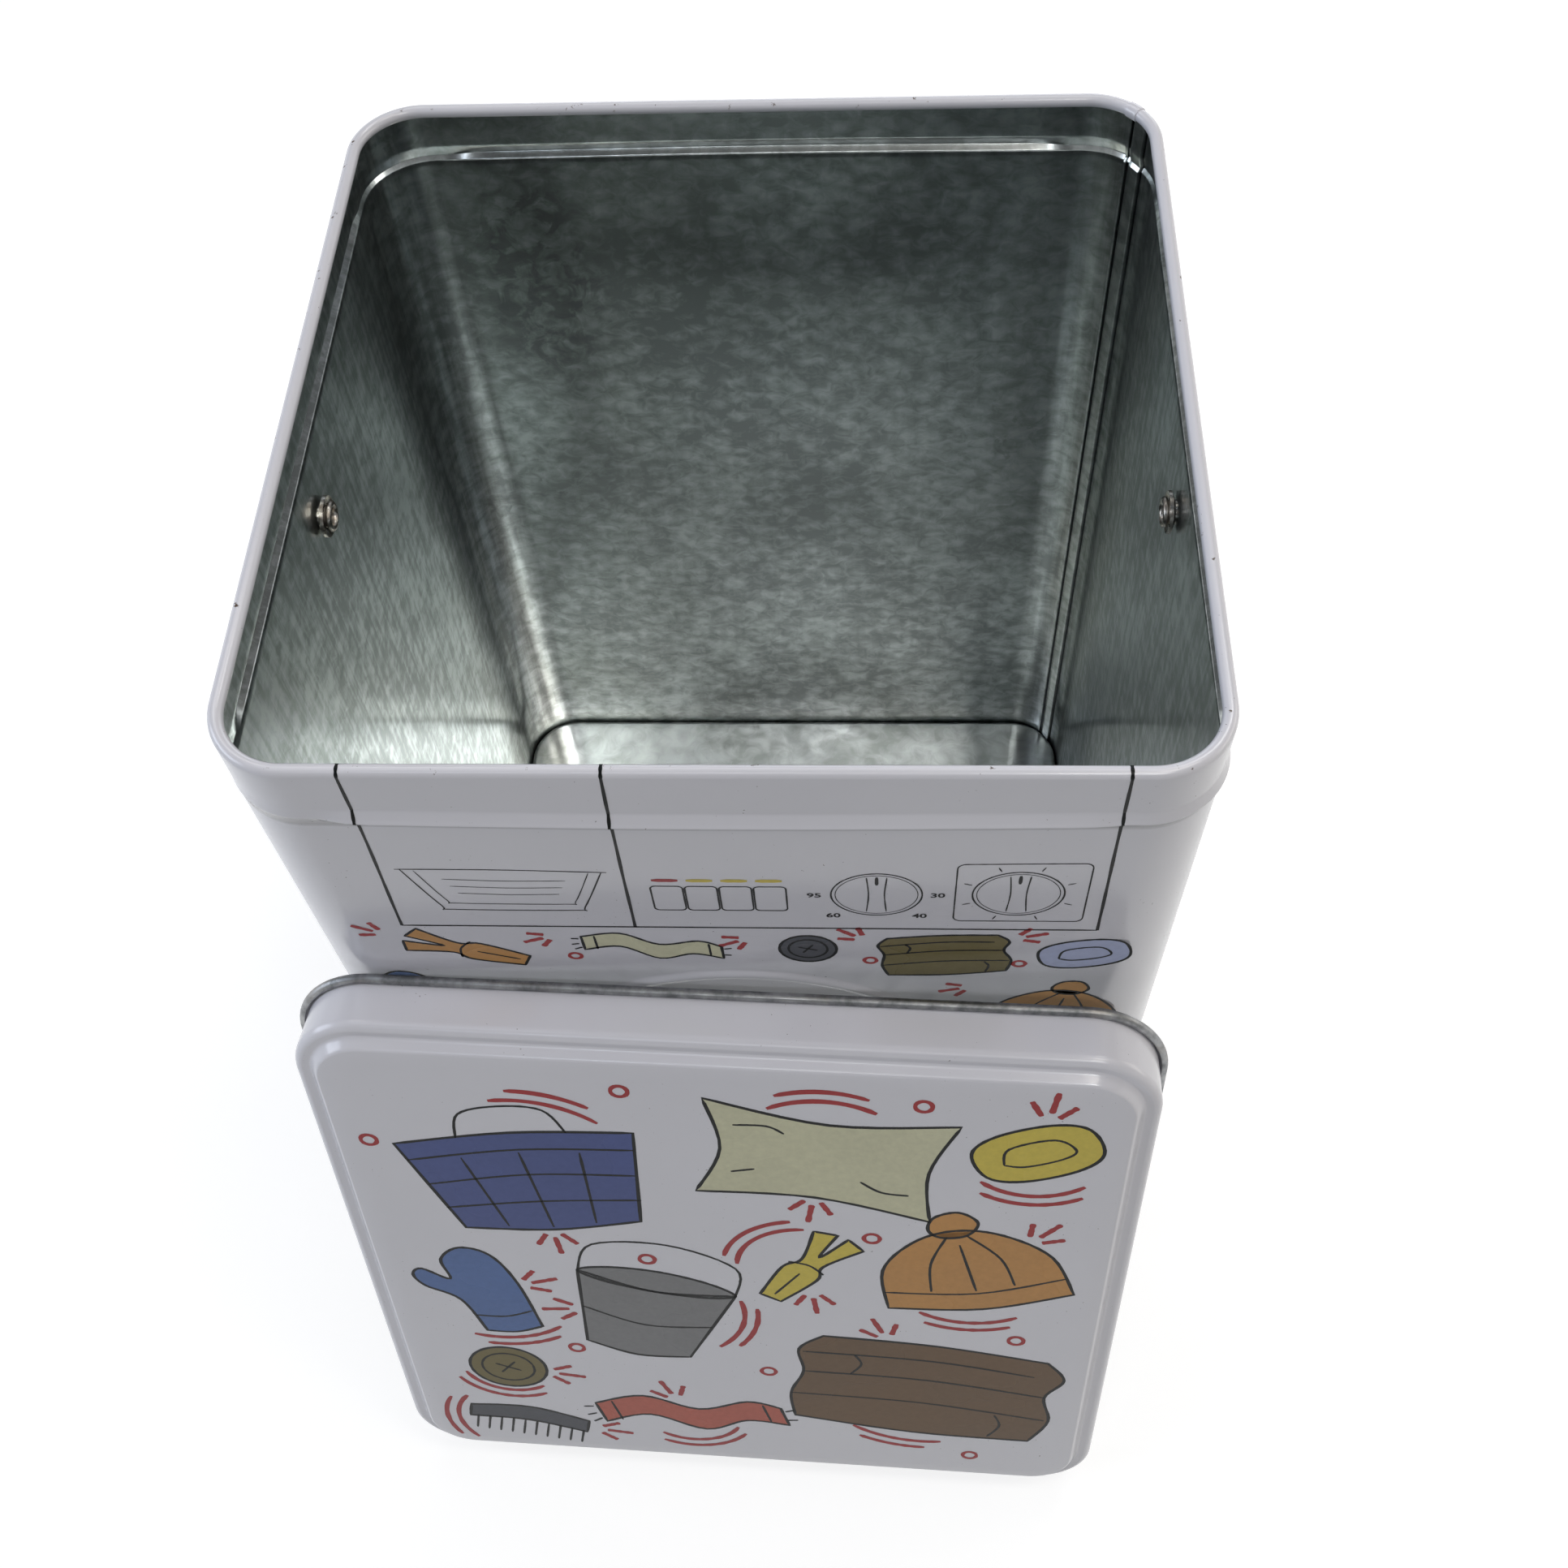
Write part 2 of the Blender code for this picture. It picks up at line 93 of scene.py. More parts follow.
def feed(node, **values):
    """Sets a value on, or links a socket to, the node's input or property of each name."""
    for key, value in values.items():
        name = key.replace("_", " ")
        if name not in node.inputs:
            setattr(node, key, value)
        elif isinstance(value, bpy.types.NodeSocket):
            link(node.id_data, value, node.inputs[name])
        else:
            node.inputs[name].default_value = value
    return node


def add(tree, kind, **values):
    return feed(tree.nodes.new(kind), **values)


def calc(tree, operation, a, b=0.0):
    node = tree.nodes.new("ShaderNodeMath")
    node.operation = operation
    for socket, value in ((node.inputs[0], a), (node.inputs[1], b)):
        if isinstance(value, bpy.types.NodeSocket):
            link(tree, value, socket)
        else:
            socket.default_value = value
    return node.outputs[0]


def new_tree(name, result, **kinds):
    """A geometry node group with these inputs and one mesh as its result."""
    tree = bpy.data.node_groups.new(name, "GeometryNodeTree")
    for label, kind in kinds.items():
        tree.interface.new_socket(label.replace("_", " "), in_out="INPUT", socket_type="NodeSocket" + kind)
    tree.interface.new_socket(result, in_out="OUTPUT", socket_type="NodeSocketGeometry")
    return tree, add(tree, "NodeGroupInput").outputs


def finish_tree(tree, given, geometry):
    """Makes the pieces real and gives them their finish."""
    real = add(tree, "GeometryNodeRealizeInstances", Geometry=geometry)
    finish = add(tree, "GeometryNodeSetMaterial", Geometry=real.outputs["Geometry"], Material=given["Finish"])
    link(tree, finish.outputs["Geometry"], add(tree, "NodeGroupOutput").inputs[0])
    return tree


def carry_section_tree():
    """Carries a sheet's section round a rounded square and gives it its finish."""
    tree, given = new_tree("carry_section", "Sheet", Section="Geometry", Half_Width="Float", Half_Depth="Float",
                           Corner_Radius="Float", Corner_Steps="Int", Finish="Material")
    square = add(tree, "GeometryNodeCurvePrimitiveQuadrilateral",
                 Width=calc(tree, "MULTIPLY", given["Half Width"], 2.0),
                 Height=calc(tree, "MULTIPLY", given["Half Depth"], 2.0))
    rounded = add(tree, "GeometryNodeFilletCurve", mode="POLY", Curve=square.outputs["Curve"],
                  Radius=given["Corner Radius"], Count=given["Corner Steps"])
    upright = add(tree, "GeometryNodeSetCurveNormal", mode="Z_UP", Curve=rounded.outputs["Curve"])
    section = add(tree, "GeometryNodeMeshToCurve", Mesh=given["Section"])
    sweep = add(tree, "GeometryNodeCurveToMesh", Curve=upright.outputs["Curve"],
                Profile_Curve=section.outputs["Curve"])
    return finish_tree(tree, given, sweep.outputs["Mesh"])


def add_object(name, mesh):
    mesh.name = name
    obj = bpy.data.objects.new(name, mesh)
    bpy.context.scene.collection.objects.link(obj)
    return obj


def plain_mesh(obj):
    """The evaluated mesh of an object, which is then removed."""
    bpy.context.view_layer.update()
    mesh = bpy.data.meshes.new_from_object(obj.evaluated_get(bpy.context.evaluated_depsgraph_get()))
    bpy.data.objects.remove(obj, do_unlink=True)
    return mesh


def through_tree(host, tree, values):
    """Runs an object through a node group with these inputs; only the mesh it makes is kept."""
    modifier = host.modifiers.new(tree.name, "NODES")
    modifier.node_group = tree
    names = {s.name: s.identifier for s in tree.interface.items_tree if s.in_out == "INPUT"}
    for name, value in values.items():
        modifier[names[name]] = value
    return plain_mesh(host)


section_tree = carry_section_tree()
BESIDE_CORNER = 0.0015


def carried_sheet(name, section, half_x, half_y, radius, finish, steps=20):
    """Mesh of one sheet's face: a section of (outward, up) points round a rounded square."""
    mesh = bpy.data.meshes.new(name + "_section")
    mesh.from_pydata([(x, -z, 0.0) for x, z in section], [(i, i + 1) for i in range(len(section) - 1)], [])
    host = add_object(name + "_section", mesh)
    sheet = through_tree(host, section_tree, {
        "Half Width": half_x, "Half Depth": half_y, "Corner Radius": radius, "Corner Steps": steps, "Finish": finish})
    bm = bmesh.new()
    bm.from_mesh(sheet)
    bmesh.ops.remove_doubles(bm, verts=bm.verts, dist=0.000005)
    for normal, half in (((1, 0, 0), half_x), ((0, 1, 0), half_y)):
        reach = half - radius - BESIDE_CORNER
        for sign in (-1, 1):
            bmesh.ops.bisect_plane(bm, geom=bm.verts[:] + bm.edges[:] + bm.faces[:], dist=0.000001,
                                   plane_co=[sign * reach * n for n in normal], plane_no=normal)
    bm.to_mesh(sheet)
    bm.free()
    return sheet


def look_outward(bm, point, outward):
    nearest = min(bm.faces, key=lambda f: (f.calc_center_median() - Vector(point)).length)
    if nearest.normal.dot(Vector(outward)) < 0:
        bmesh.ops.reverse_faces(bm, faces=bm.faces)


def thickened(name, mesh, inner_finish):
    """Gives a sheet's face its thickness inwards, with another finish on the inner side."""
    if len(mesh.materials) == 1:
        mesh.materials.append(inner_finish)
    obj = add_object(name, mesh)
    solid = obj.modifiers.new("sheet", "SOLIDIFY")
    solid.thickness = SHEET
    solid.offset = -1
    solid.use_even_offset = True
    solid.material_offset = 1
    solid.material_offset_rim = 1
    mesh = plain_mesh(obj)
    mesh.shade_smooth()
    return add_object(name, mesh)


def filled(bm, name):
    """Turns what was built in bmesh into a mesh."""
    mesh = bpy.data.meshes.new(name)
    bm.to_mesh(mesh)
    bm.free()
    return mesh


def new_material(name, **values):
    mat = bpy.data.materials.new(name)
    mat.use_nodes = True
    return mat, mat.node_tree, feed(mat.node_tree.nodes["Principled BSDF"], **values)


def mapped(tree, scale=(1, 1, 1), turn=(0, 0, 0), centre=(0, 0, 0)):
    """Object coordinates from a centre, scaled and turned."""
    coords = add(tree, "ShaderNodeTexCoord")
    place = [-c * k for c, k in zip(centre, scale)]
    mapping = add(tree, "ShaderNodeMapping", Location=place, Scale=scale, Rotation=turn,
                  Vector=coords.outputs["Object"])
    return mapping.outputs["Vector"]


def noise(tree, vector, scale, detail=3.0, rough=0.5, distortion=0.0):
    node = add(tree, "ShaderNodeTexNoise", Vector=vector, Scale=scale, Detail=detail, Roughness=rough,
               Distortion=distortion)
    return node.outputs["Fac"]


def remap(tree, value, low, high, to_low, to_high):
    node = add(tree, "ShaderNodeMapRange", Value=value, From_Min=low, From_Max=high, To_Min=to_low, To_Max=to_high)
    return node.outputs["Result"]


def full_color(color):
    return color if isinstance(color, bpy.types.NodeSocket) else (*color, 1.0)


def mix_colors(tree, factor, first, second):
    node = add(tree, "ShaderNodeMix", data_type="RGBA")
    return feed(node, Factor=factor, A=full_color(first), B=full_color(second)).outputs["Result"]


def bump(tree, height, strength, distance, after=None):
    node = add(tree, "ShaderNodeBump", Height=height, Strength=strength, Distance=distance)
    if after:
        feed(node, Normal=after)
    return node.outputs["Normal"]


def white_lacquer():
    """Stoved white lacquer: soft cloudiness, faint orange peel, specks, chips on the rim, and a painted shadow under
    the bead.
    """
    mat, tree, shader = new_material("white_lacquer", Coat_Weight=0.25, Coat_Roughness=0.12)
    place = mapped(tree)
    color = mix_colors(tree, noise(tree, place, 22.0, 4.0), (0.685, 0.680, 0.728), (0.745, 0.738, 0.785))
    height = add(tree, "ShaderNodeSeparateXYZ", Vector=place).outputs["Z"]
    specks = (remap(tree, noise(tree, place, 1500.0, 2.0), 0.735, 0.76, 0.0, 1.0),
              remap(tree, noise(tree, place, 60.0, 2.0), 0.5, 0.62, 0.0, 1.0), (0.10, 0.085, 0.07))
    chips = (remap(tree, height, HEIGHT - 0.0016, HEIGHT - 0.0006, 0.0, 1.0),
             remap(tree, noise(tree, place, 330.0, 4.0, 0.65), 0.66, 0.71, 0.0, 1.0), (0.12, 0.085, 0.065))
    # Painted shadow: the lacquer is darkened in a band from just below the bead's foot up to its crest, where the
    # bead's overhang would shade the wall.
    painted_bead_shadow = (remap(tree, height, BEAD_FOOT - 0.0019, BEAD_FOOT - 0.0009, 0.0, 0.62),
            remap(tree, height, BEAD_CREST - 0.0004, BEAD_CREST, 1.0, 0.0), (0.20, 0.195, 0.20))
    for where, much, tint in (specks, chips, painted_bead_shadow):
        color = mix_colors(tree, calc(tree, "MULTIPLY", where, much), color, tint)
    smears = noise(tree, mapped(tree, (1, 1, 0.35)), 75.0, 5.0, 0.6)
    peel = bump(tree, noise(tree, place, 1100.0, 2.0), 0.05, 0.0002)
    waves = bump(tree, noise(tree, place, 26.0, 1.0), 0.12, 0.0015, peel)
    feed(shader, Base_Color=color, Roughness=remap(tree, smears, 0.3, 0.75, 0.17, 0.27), Normal=waves)
    return mat


SHEEN_ROUGH = 0.165
HAZE_ROUGH = 0.33
HAZE_SHARE = 0.38
STAIN = (-0.057, TIN_Y + HALF, 0.204)


def toned(tone, factor):
    return tuple(min(1.0, c * factor) for c in tone)


def bare_tinplate(name, flake, tone, streak, crease_shaded=False):
    """Bare hot-dipped plate: frosty flakes, cloudy patches, drawing grain on the sides and a few dark stains.

    The plate mirrors sharply through a frosty haze, so two metal shaders are mixed."""
    mat, tree, sheen = new_material(name, Metallic=1.0)
    place = mapped(tree)
    flakes = noise(tree, mapped(tree, (0.75, 0.75, 1.0)), 1.0 / flake, 3.0, 0.6, 1.2)
    cells = add(tree, "ShaderNodeTexVoronoi", feature="SMOOTH_F1", Scale=0.9 / flake, Smoothness=0.35, Randomness=1.0,
                Vector=mapped(tree, (0.7, 0.7, 1.0), (0.0, 0.5, 0.0)))
    facets = remap(tree, cells.outputs["Distance"], 0.1, 0.75, 1.0, 0.0)
    clouds = noise(tree, place, 24.0, 3.0, 0.55)
    grain = noise(tree, mapped(tree, (1.0, 1.0, 0.06)), 560.0, 3.0, 0.65)
    across = calc(tree, "ABSOLUTE", add(tree, "ShaderNodeSeparateXYZ", Vector=place).outputs["X"])
    on_sides = remap(tree, across, HALF - 0.016, HALF - 0.001, 0.15, 1.0)
    streaks = calc(tree, "MULTIPLY", calc(tree, "SUBTRACT", grain, 0.5), streak)
    level = calc(tree, "MULTIPLY", flakes, 0.5)
    for part, share in ((facets, 0.18), (clouds, 0.32), (streaks, on_sides)):
        level = calc(tree, "ADD", level, calc(tree, "MULTIPLY", part, share))
    color = mix_colors(tree, remap(tree, level, 0.37, 0.63, 0.0, 1.0), toned(tone, 0.66), toned(tone, 1.24))
    marks = noise(tree, place, 150.0, 3.0, 0.6, 0.8)
    blots = calc(tree, "MULTIPLY", remap(tree, marks, 0.54, 0.62, 0.0, 0.5),
                 remap(tree, noise(tree, place, 19.0, 1.0), 0.57, 0.70, 0.0, 1.0))
    from_stain = add(tree, "ShaderNodeVectorMath", operation="LENGTH")
    link(tree, mapped(tree, (55.0, 30.0, 24.0), (0, 0, 0), STAIN), from_stain.inputs[0])
    burn = calc(tree, "MULTIPLY", remap(tree, from_stain.outputs["Value"], 0.6, 1.1, 1.0, 0.0),
                remap(tree, marks, 0.46, 0.56, 0.1, 0.75))
    color = mix_colors(tree, calc(tree, "MAXIMUM", blots, burn), color, toned(tone, 0.42))
    # Painted shade: an attribute set on the seam's folds darkens the plate almost to black in the creases, where
    # shade would fall.
    if crease_shaded:
        crease_shade = add(tree, "ShaderNodeAttribute", attribute_name="crease_shade")
        color = mix_colors(tree, crease_shade.outputs["Fac"], color, (0.035, 0.037, 0.038))
    fine = bump(tree, grain, 0.12, 0.0001)
    frost = bump(tree, flakes, 0.04, 0.0006, fine)
    waves = bump(tree, noise(tree, mapped(tree, (1, 1, 0.5)), 28.0, 2.0), 0.10, 0.0015, frost)
    feed(sheen, Base_Color=color, Normal=waves,
         Roughness=remap(tree, level, 0.36, 0.64, SHEEN_ROUGH * 1.25, SHEEN_ROUGH * 0.8))
    haze = add(tree, "ShaderNodeBsdfPrincipled", Metallic=1.0, Roughness=HAZE_ROUGH, Base_Color=color, Normal=waves)
    frosted = add(tree, "ShaderNodeMixShader")
    frosted.inputs[0].default_value = HAZE_SHARE
    link(tree, sheen.outputs["BSDF"], frosted.inputs[1])
    link(tree, haze.outputs["BSDF"], frosted.inputs[2])
    link(tree, frosted.outputs["Shader"], tree.nodes["Material Output"].inputs["Surface"])
    return mat


lacquer = white_lacquer()
tinplate = bare_tinplate("bare_tinplate", 0.0034, (0.61, 0.65, 0.645), 0.70)


def bead_run():
    """Rolled bead as (outward, up): a long straight slope out to the crest, then a short one back."""
    start, end = BEAD_TOP - 0.0003, BEAD_CREST + 0.0004
    slope = [(0.0, BEAD_TOP), (0.00002, start)]
    for i in range(1, 6):
        t = i / 6
        slope.append((BEAD_PROUD * 0.96 * t, start + (end - BEAD_TOP) * t))
    nose = [(BEAD_PROUD * share, BEAD_CREST + up) for share, up in ((0.93, 0.0003), (0.99, 0.0001), (1.0, -0.0001))]
    back = [(BEAD_PROUD * (1 - t), BEAD_CREST - 0.0001 + (BEAD_FOOT + 0.0001 - BEAD_CREST) * t)
            for t in (0.10, 0.12, 0.5, 0.90, 0.92)]
    return slope + nose + back + [(BEAD_PROUD * 0.02, BEAD_FOOT - 0.00002), (0.0, BEAD_FOOT - 0.0001)]


def body_section():
    rim = arc(-RIM_R, HEIGHT - RIM_R, RIM_R, 290, 0, 22)
    neck = [(0.0, HEIGHT - 0.0025), (0.0, BEAD_TOP + 0.0012)]
    lip = (0.0, 0.0022)
    wall = [(0.0, BEAD_FOOT - 0.0015), (0.0, 0.0052), lip]
    return rim + neck + bead_run() + wall + eased(lip, (0.0003, 0.00075), 4)


BOW = 0.0007
BOW_LOW = 0.200
FLAT = HALF - CORNER


def smooth_step(low, high, value):
    return ease(min(1.0, max(0.0, (value - low) / (high - low))))


def bead_strength(x, y):
    """The bead is rolled full along the walls and fades at the corners, most at the front left one."""
    along_x = smooth_step(FLAT - 0.012, HALF, abs(x))
    along_y = smooth_step(FLAT - 0.012, HALF, abs(y))
    into_corner = min(1.0, 4.0 * along_x * along_y)
    if y < 0:
        least = 0.15 if x < 0 else 0.7
    else:
        least = 0.5
    return 1.2 + (least - 1.2) * into_corner


def settle(x, y, z):
    """Moves a point of the lacquered side: a weaker or fuller bead, and a slight bow of front and back."""
    core = Vector((min(FLAT, max(-FLAT, x)), min(FLAT, max(-FLAT, y))))
    away = Vector((x, y)) - core
    if BEAD_FOOT < z < BEAD_TOP:
        out = away.length - CORNER
        away = away.normalized() * (CORNER + out * bead_strength(x, y))
    x, y = core + away
    across = max(0.0, 1.0 - (x / 0.074) ** 2) ** 1.5
    bow = BOW * across * smooth_step(BOW_LOW, 0.226, z) * smooth_step(0.0, 0.010, HEIGHT - 0.0005 - z)
    if abs(y) > FLAT:
        y += math.copysign(bow, y)
    return x, y


def cut_across(bm, places, low):
    """Cuts the upper part of the sheet at these distances from the middle, along both sides."""
    for place in places:
        for sign in (-1, 1):
            for normal in ((1, 0, 0), (0, 1, 0)):
                faces = [f for f in bm.faces if max(v.co.z for v in f.verts) > low]
                geom = list({v for f in faces for v in f.verts}) + list({e for f in faces for e in f.edges}) + faces
                bmesh.ops.bisect_plane(bm, geom=geom, dist=0.000001,
                                       plane_co=[sign * place * n for n in normal], plane_no=normal)


def porthole_relief(x, z):
    off = abs(math.hypot(x, z - RING_Z) - RING_R)
    if off >= RING_HALF:
        return 0.0
    return RING_PROUD * 0.5 * (1 + math.cos(math.pi * off / RING_HALF))


def emboss_porthole(bm):
    """Swaps the flat of the front wall for one that carries the embossed ring."""
    fronts = [f for f in bm.faces if f.normal.y < -0.9 and len(f.verts) == 4]
    wall = max(fronts, key=lambda f: f.calc_area())
    corners = [v for v in wall.verts]
    material = wall.material_index
    flat = [(v.co.x, v.co.z) for v in corners]
    y = corners[0].co.y
    points = [Vector(p) for p in flat]
    edges = [(0, 1), (1, 2), (2, 3), (3, 0)]
    count = 160
    for k in range(13):
        radius = RING_R - RING_HALF + 2 * RING_HALF * k / 12
        first = len(points)
        for i in range(count):
            a = 2 * math.pi * i / count
            points.append(Vector((radius * math.cos(a), RING_Z + radius * math.sin(a))))
            edges.append((first + i, first + (i + 1) % count))
    verts, _, faces, _, _, _ = delaunay_2d_cdt(points, edges, [], 0, 1e-7)
    made = []
    for p in verts:
        same = [c for c, q in zip(corners, flat) if abs(q[0] - p[0]) < 1e-6 and abs(q[1] - p[1]) < 1e-6]
        made.append(same[0] if same else bm.verts.new((p[0], y - porthole_relief(p[0], p[1]), p[1])))
    bmesh.ops.delete(bm, geom=[wall], context="FACES_ONLY")
    for f in faces:
        face = bm.faces.new([made[i] for i in f])
        face.normal_update()
        if face.normal.y > 0:
            face.normal_flip()
        face.material_index = material


body_mesh = carried_sheet("body_sheet", body_section(), HALF, HALF, CORNER, lacquer)
bm = bmesh.new()
bm.from_mesh(body_mesh)
look_outward(bm, (HALF, 0, HEIGHT / 2), (1, 0, 0))
emboss_porthole(bm)
for row in range(16):
    level = BOW_LOW + 0.0025 * row
    bmesh.ops.bisect_plane(bm, geom=bm.verts[:] + bm.edges[:] + bm.faces[:], dist=0.000001,
                           plane_co=(0, 0, level), plane_no=(0, 0, 1))
CUTS = (0.0, 0.008, 0.016, 0.024, 0.031, 0.038, 0.045, 0.051, 0.057, 0.062, 0.066, 0.069, 0.0715)
cut_across(bm, CUTS, BOW_LOW)
for v in bm.verts:
    if v.co.z > BOW_LOW:
        v.co.x, v.co.y = settle(*v.co)
bm.to_mesh(body_mesh)
bm.free()
body_mesh.transform(Matrix.Translation((0, TIN_Y, 0)))
body = thickened("body_sheet", body_mesh, tinplate)
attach(body, "tin")
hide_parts("body_shell")


# Lock seam
# The two edges of the body strip are hooked into each other and pressed flat inside the back right
# corner, so a folded band runs up the corner from the base, over the bead and up to the curl.

SEAM_CX = HALF - CORNER
SEAM_SUNK = 0.00002
PANEL_Z = 0.0065
# Each row gives an angle, a rise in mm and an amount of painted shade that darkens the crease at that angle.
SEAM_BAND = (
    (50.6, 0.0, 1.0), (50.3, 0.05, 1.0), (49.9, 0.36, 0.4), (49.4, 0.50, 0.0), (47.6, 0.52, 0.0),
    (47.2, 0.44, 0.3), (46.9, 0.08, 1.0), (46.3, 0.03, 1.0), (44.4, 0.03, 1.0), (43.9, 0.10, 1.0),
    (43.6, 0.56, 0.3), (43.1, 0.76, 0.0), (40.0, 0.84, 0.0), (36.0, 0.86, 0.0), (32.0, 0.86, 0.0),
    (30.6, 0.84, 0.0), (30.1, 0.72, 0.6), (29.6, 0.10, 1.0), (28.2, 0.05, 1.0), (27.9, 0.0, 1.0))
LAP_BAND = (
    (37.4, -0.05), (37.6, 0.20), (38.4, 0.24), (41.0, 0.25), (44.0, 0.25),
    (47.0, 0.25), (49.2, 0.24), (50.0, 0.20), (50.2, -0.05))


def seam_rows():
    """Inner side of the body strip, from above the base up to the curl, as (outward, up)."""
    above = [(0.0, HEIGHT - 0.0031), (0.0, BEAD_TOP + 0.0015)]
    return above + bead_run() + [(0.0, BEAD_FOOT - 0.002), (0.0, PANEL_Z + 0.0006)]


def corner_vert(bm, angle, radius, up):
    a = math.radians(angle)
    return bm.verts.new((SEAM_CX + radius * math.cos(a), TIN_Y + SEAM_CX + radius * math.sin(a), up))


def skinned(name, bm, rows, point, outward, finish):
    """Joins rows of vertices into a sheet whose face near this point looks outward."""
    for one, other in zip(rows, rows[1:]):
        for i in range(len(one) - 1):
            bm.faces.new((one[i], one[i + 1], other[i + 1], other[i]))
    bmesh.ops.recalc_face_normals(bm, faces=bm.faces)
    look_outward(bm, point, outward)
    mesh = filled(bm, name)
    mesh.shade_smooth()
    mesh.materials.append(finish)
    return add_object(name, mesh)


def folded_band(finish):
    """The seam's folds from SEAM_BAND (angle, rise in mm, how much painted shade darkens the crease there)."""
    bm = bmesh.new()
    crease_shade = bm.verts.layers.float.new("crease_shade")
    rows = []
    for out, up in seam_rows():
        row = []
        for angle, rise, painted_shade in SEAM_BAND:
            a = math.radians(angle)
            full = 1.0
            if BEAD_FOOT < up < BEAD_TOP:
                full = bead_strength(SEAM_CX + CORNER * math.cos(a), SEAM_CX + CORNER * math.sin(a))
            row.append(corner_vert(bm, angle, CORNER + out * full - SHEET + SEAM_SUNK - rise / 1000, up))
            row[-1][crease_shade] = painted_shade
        rows.append(row)
    return skinned("lock_seam", bm, rows, (SEAM_CX + 0.01, TIN_Y + SEAM_CX + 0.01, 0.12), (-1, -1, 0), finish)


def curl_lap():
    """Where the strip's end laps its start in the curl: a second layer round the rim, from LAP_BAND."""
    bm = bmesh.new()
    rows = [[corner_vert(bm, angle, CORNER + out, up)
             for out, up in arc(-RIM_R, HEIGHT - RIM_R, RIM_R + lift / 1000, 230, -20, 20)]
            for angle, lift in LAP_BAND]
    top = (SEAM_CX + CORNER, TIN_Y + SEAM_CX + CORNER, HEIGHT)
    return skinned("curl_lap", bm, rows, top, (0.5, 0.5, 1), lacquer)


lap = curl_lap()
lap.data.set_sharp_from_angle(angle=math.radians(50))
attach(lap, "tin")

lock_seam = folded_band(bare_tinplate("seam_tinplate", 0.0034, (0.66, 0.70, 0.69), 0.3, True))
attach(lock_seam, "tin")


# Front print
# Inks printed on the flat plate before it was folded: thin black lines that run over the curl, the neck
# and the bead, a plain appliance panel with keys and two dials, and household things in flat colours.

INKS = {
    "black": (0.008, 0.009, 0.009), "red": (0.43, 0.055, 0.058), "amber": (0.74, 0.60, 0.115),
    "orange": (0.62, 0.32, 0.11), "lavender": (0.50, 0.55, 0.76), "cream": (0.70, 0.685, 0.48),
    "olive": (0.20, 0.165, 0.07), "charcoal": (0.095, 0.10, 0.115), "blue": (0.12, 0.20, 0.43),
    "grey": (0.265, 0.265, 0.268), "brown": (0.18, 0.112, 0.062), "navy": (0.095, 0.125, 0.31),
    "brick": (0.56, 0.15, 0.105)}
INK_RISE = {"fill": 0.00002, "line": 0.00004}


def flowing(points, closed=False, steps=6):
    """Smooth line through these points; a point given twice is a corner."""
    count = len(points)
    line = []
    for i in range(count if closed else count - 1):
        near = [points[(i + k) % count] if closed else points[min(count - 1, max(0, i + k))] for k in (-1, 0, 1, 2)]
        if near[1] == near[2]:
            continue
        for step in range(steps):
            t = step / steps
            line.append(tuple(
                0.5 * (2 * b + (c - a) * t + (2 * a - 5 * b + 4 * c - d) * t ** 2 + (3 * b - a - 3 * c + d) * t ** 3)
                for a, b, c, d in zip(*near)))
    return line if closed else line + [points[-1]]


def ring_of(cx, cy, radius, count):
    turns = [2 * math.pi * i / count for i in range(count)]
    return [(cx + radius * math.cos(a), cy + radius * math.sin(a)) for a in turns]


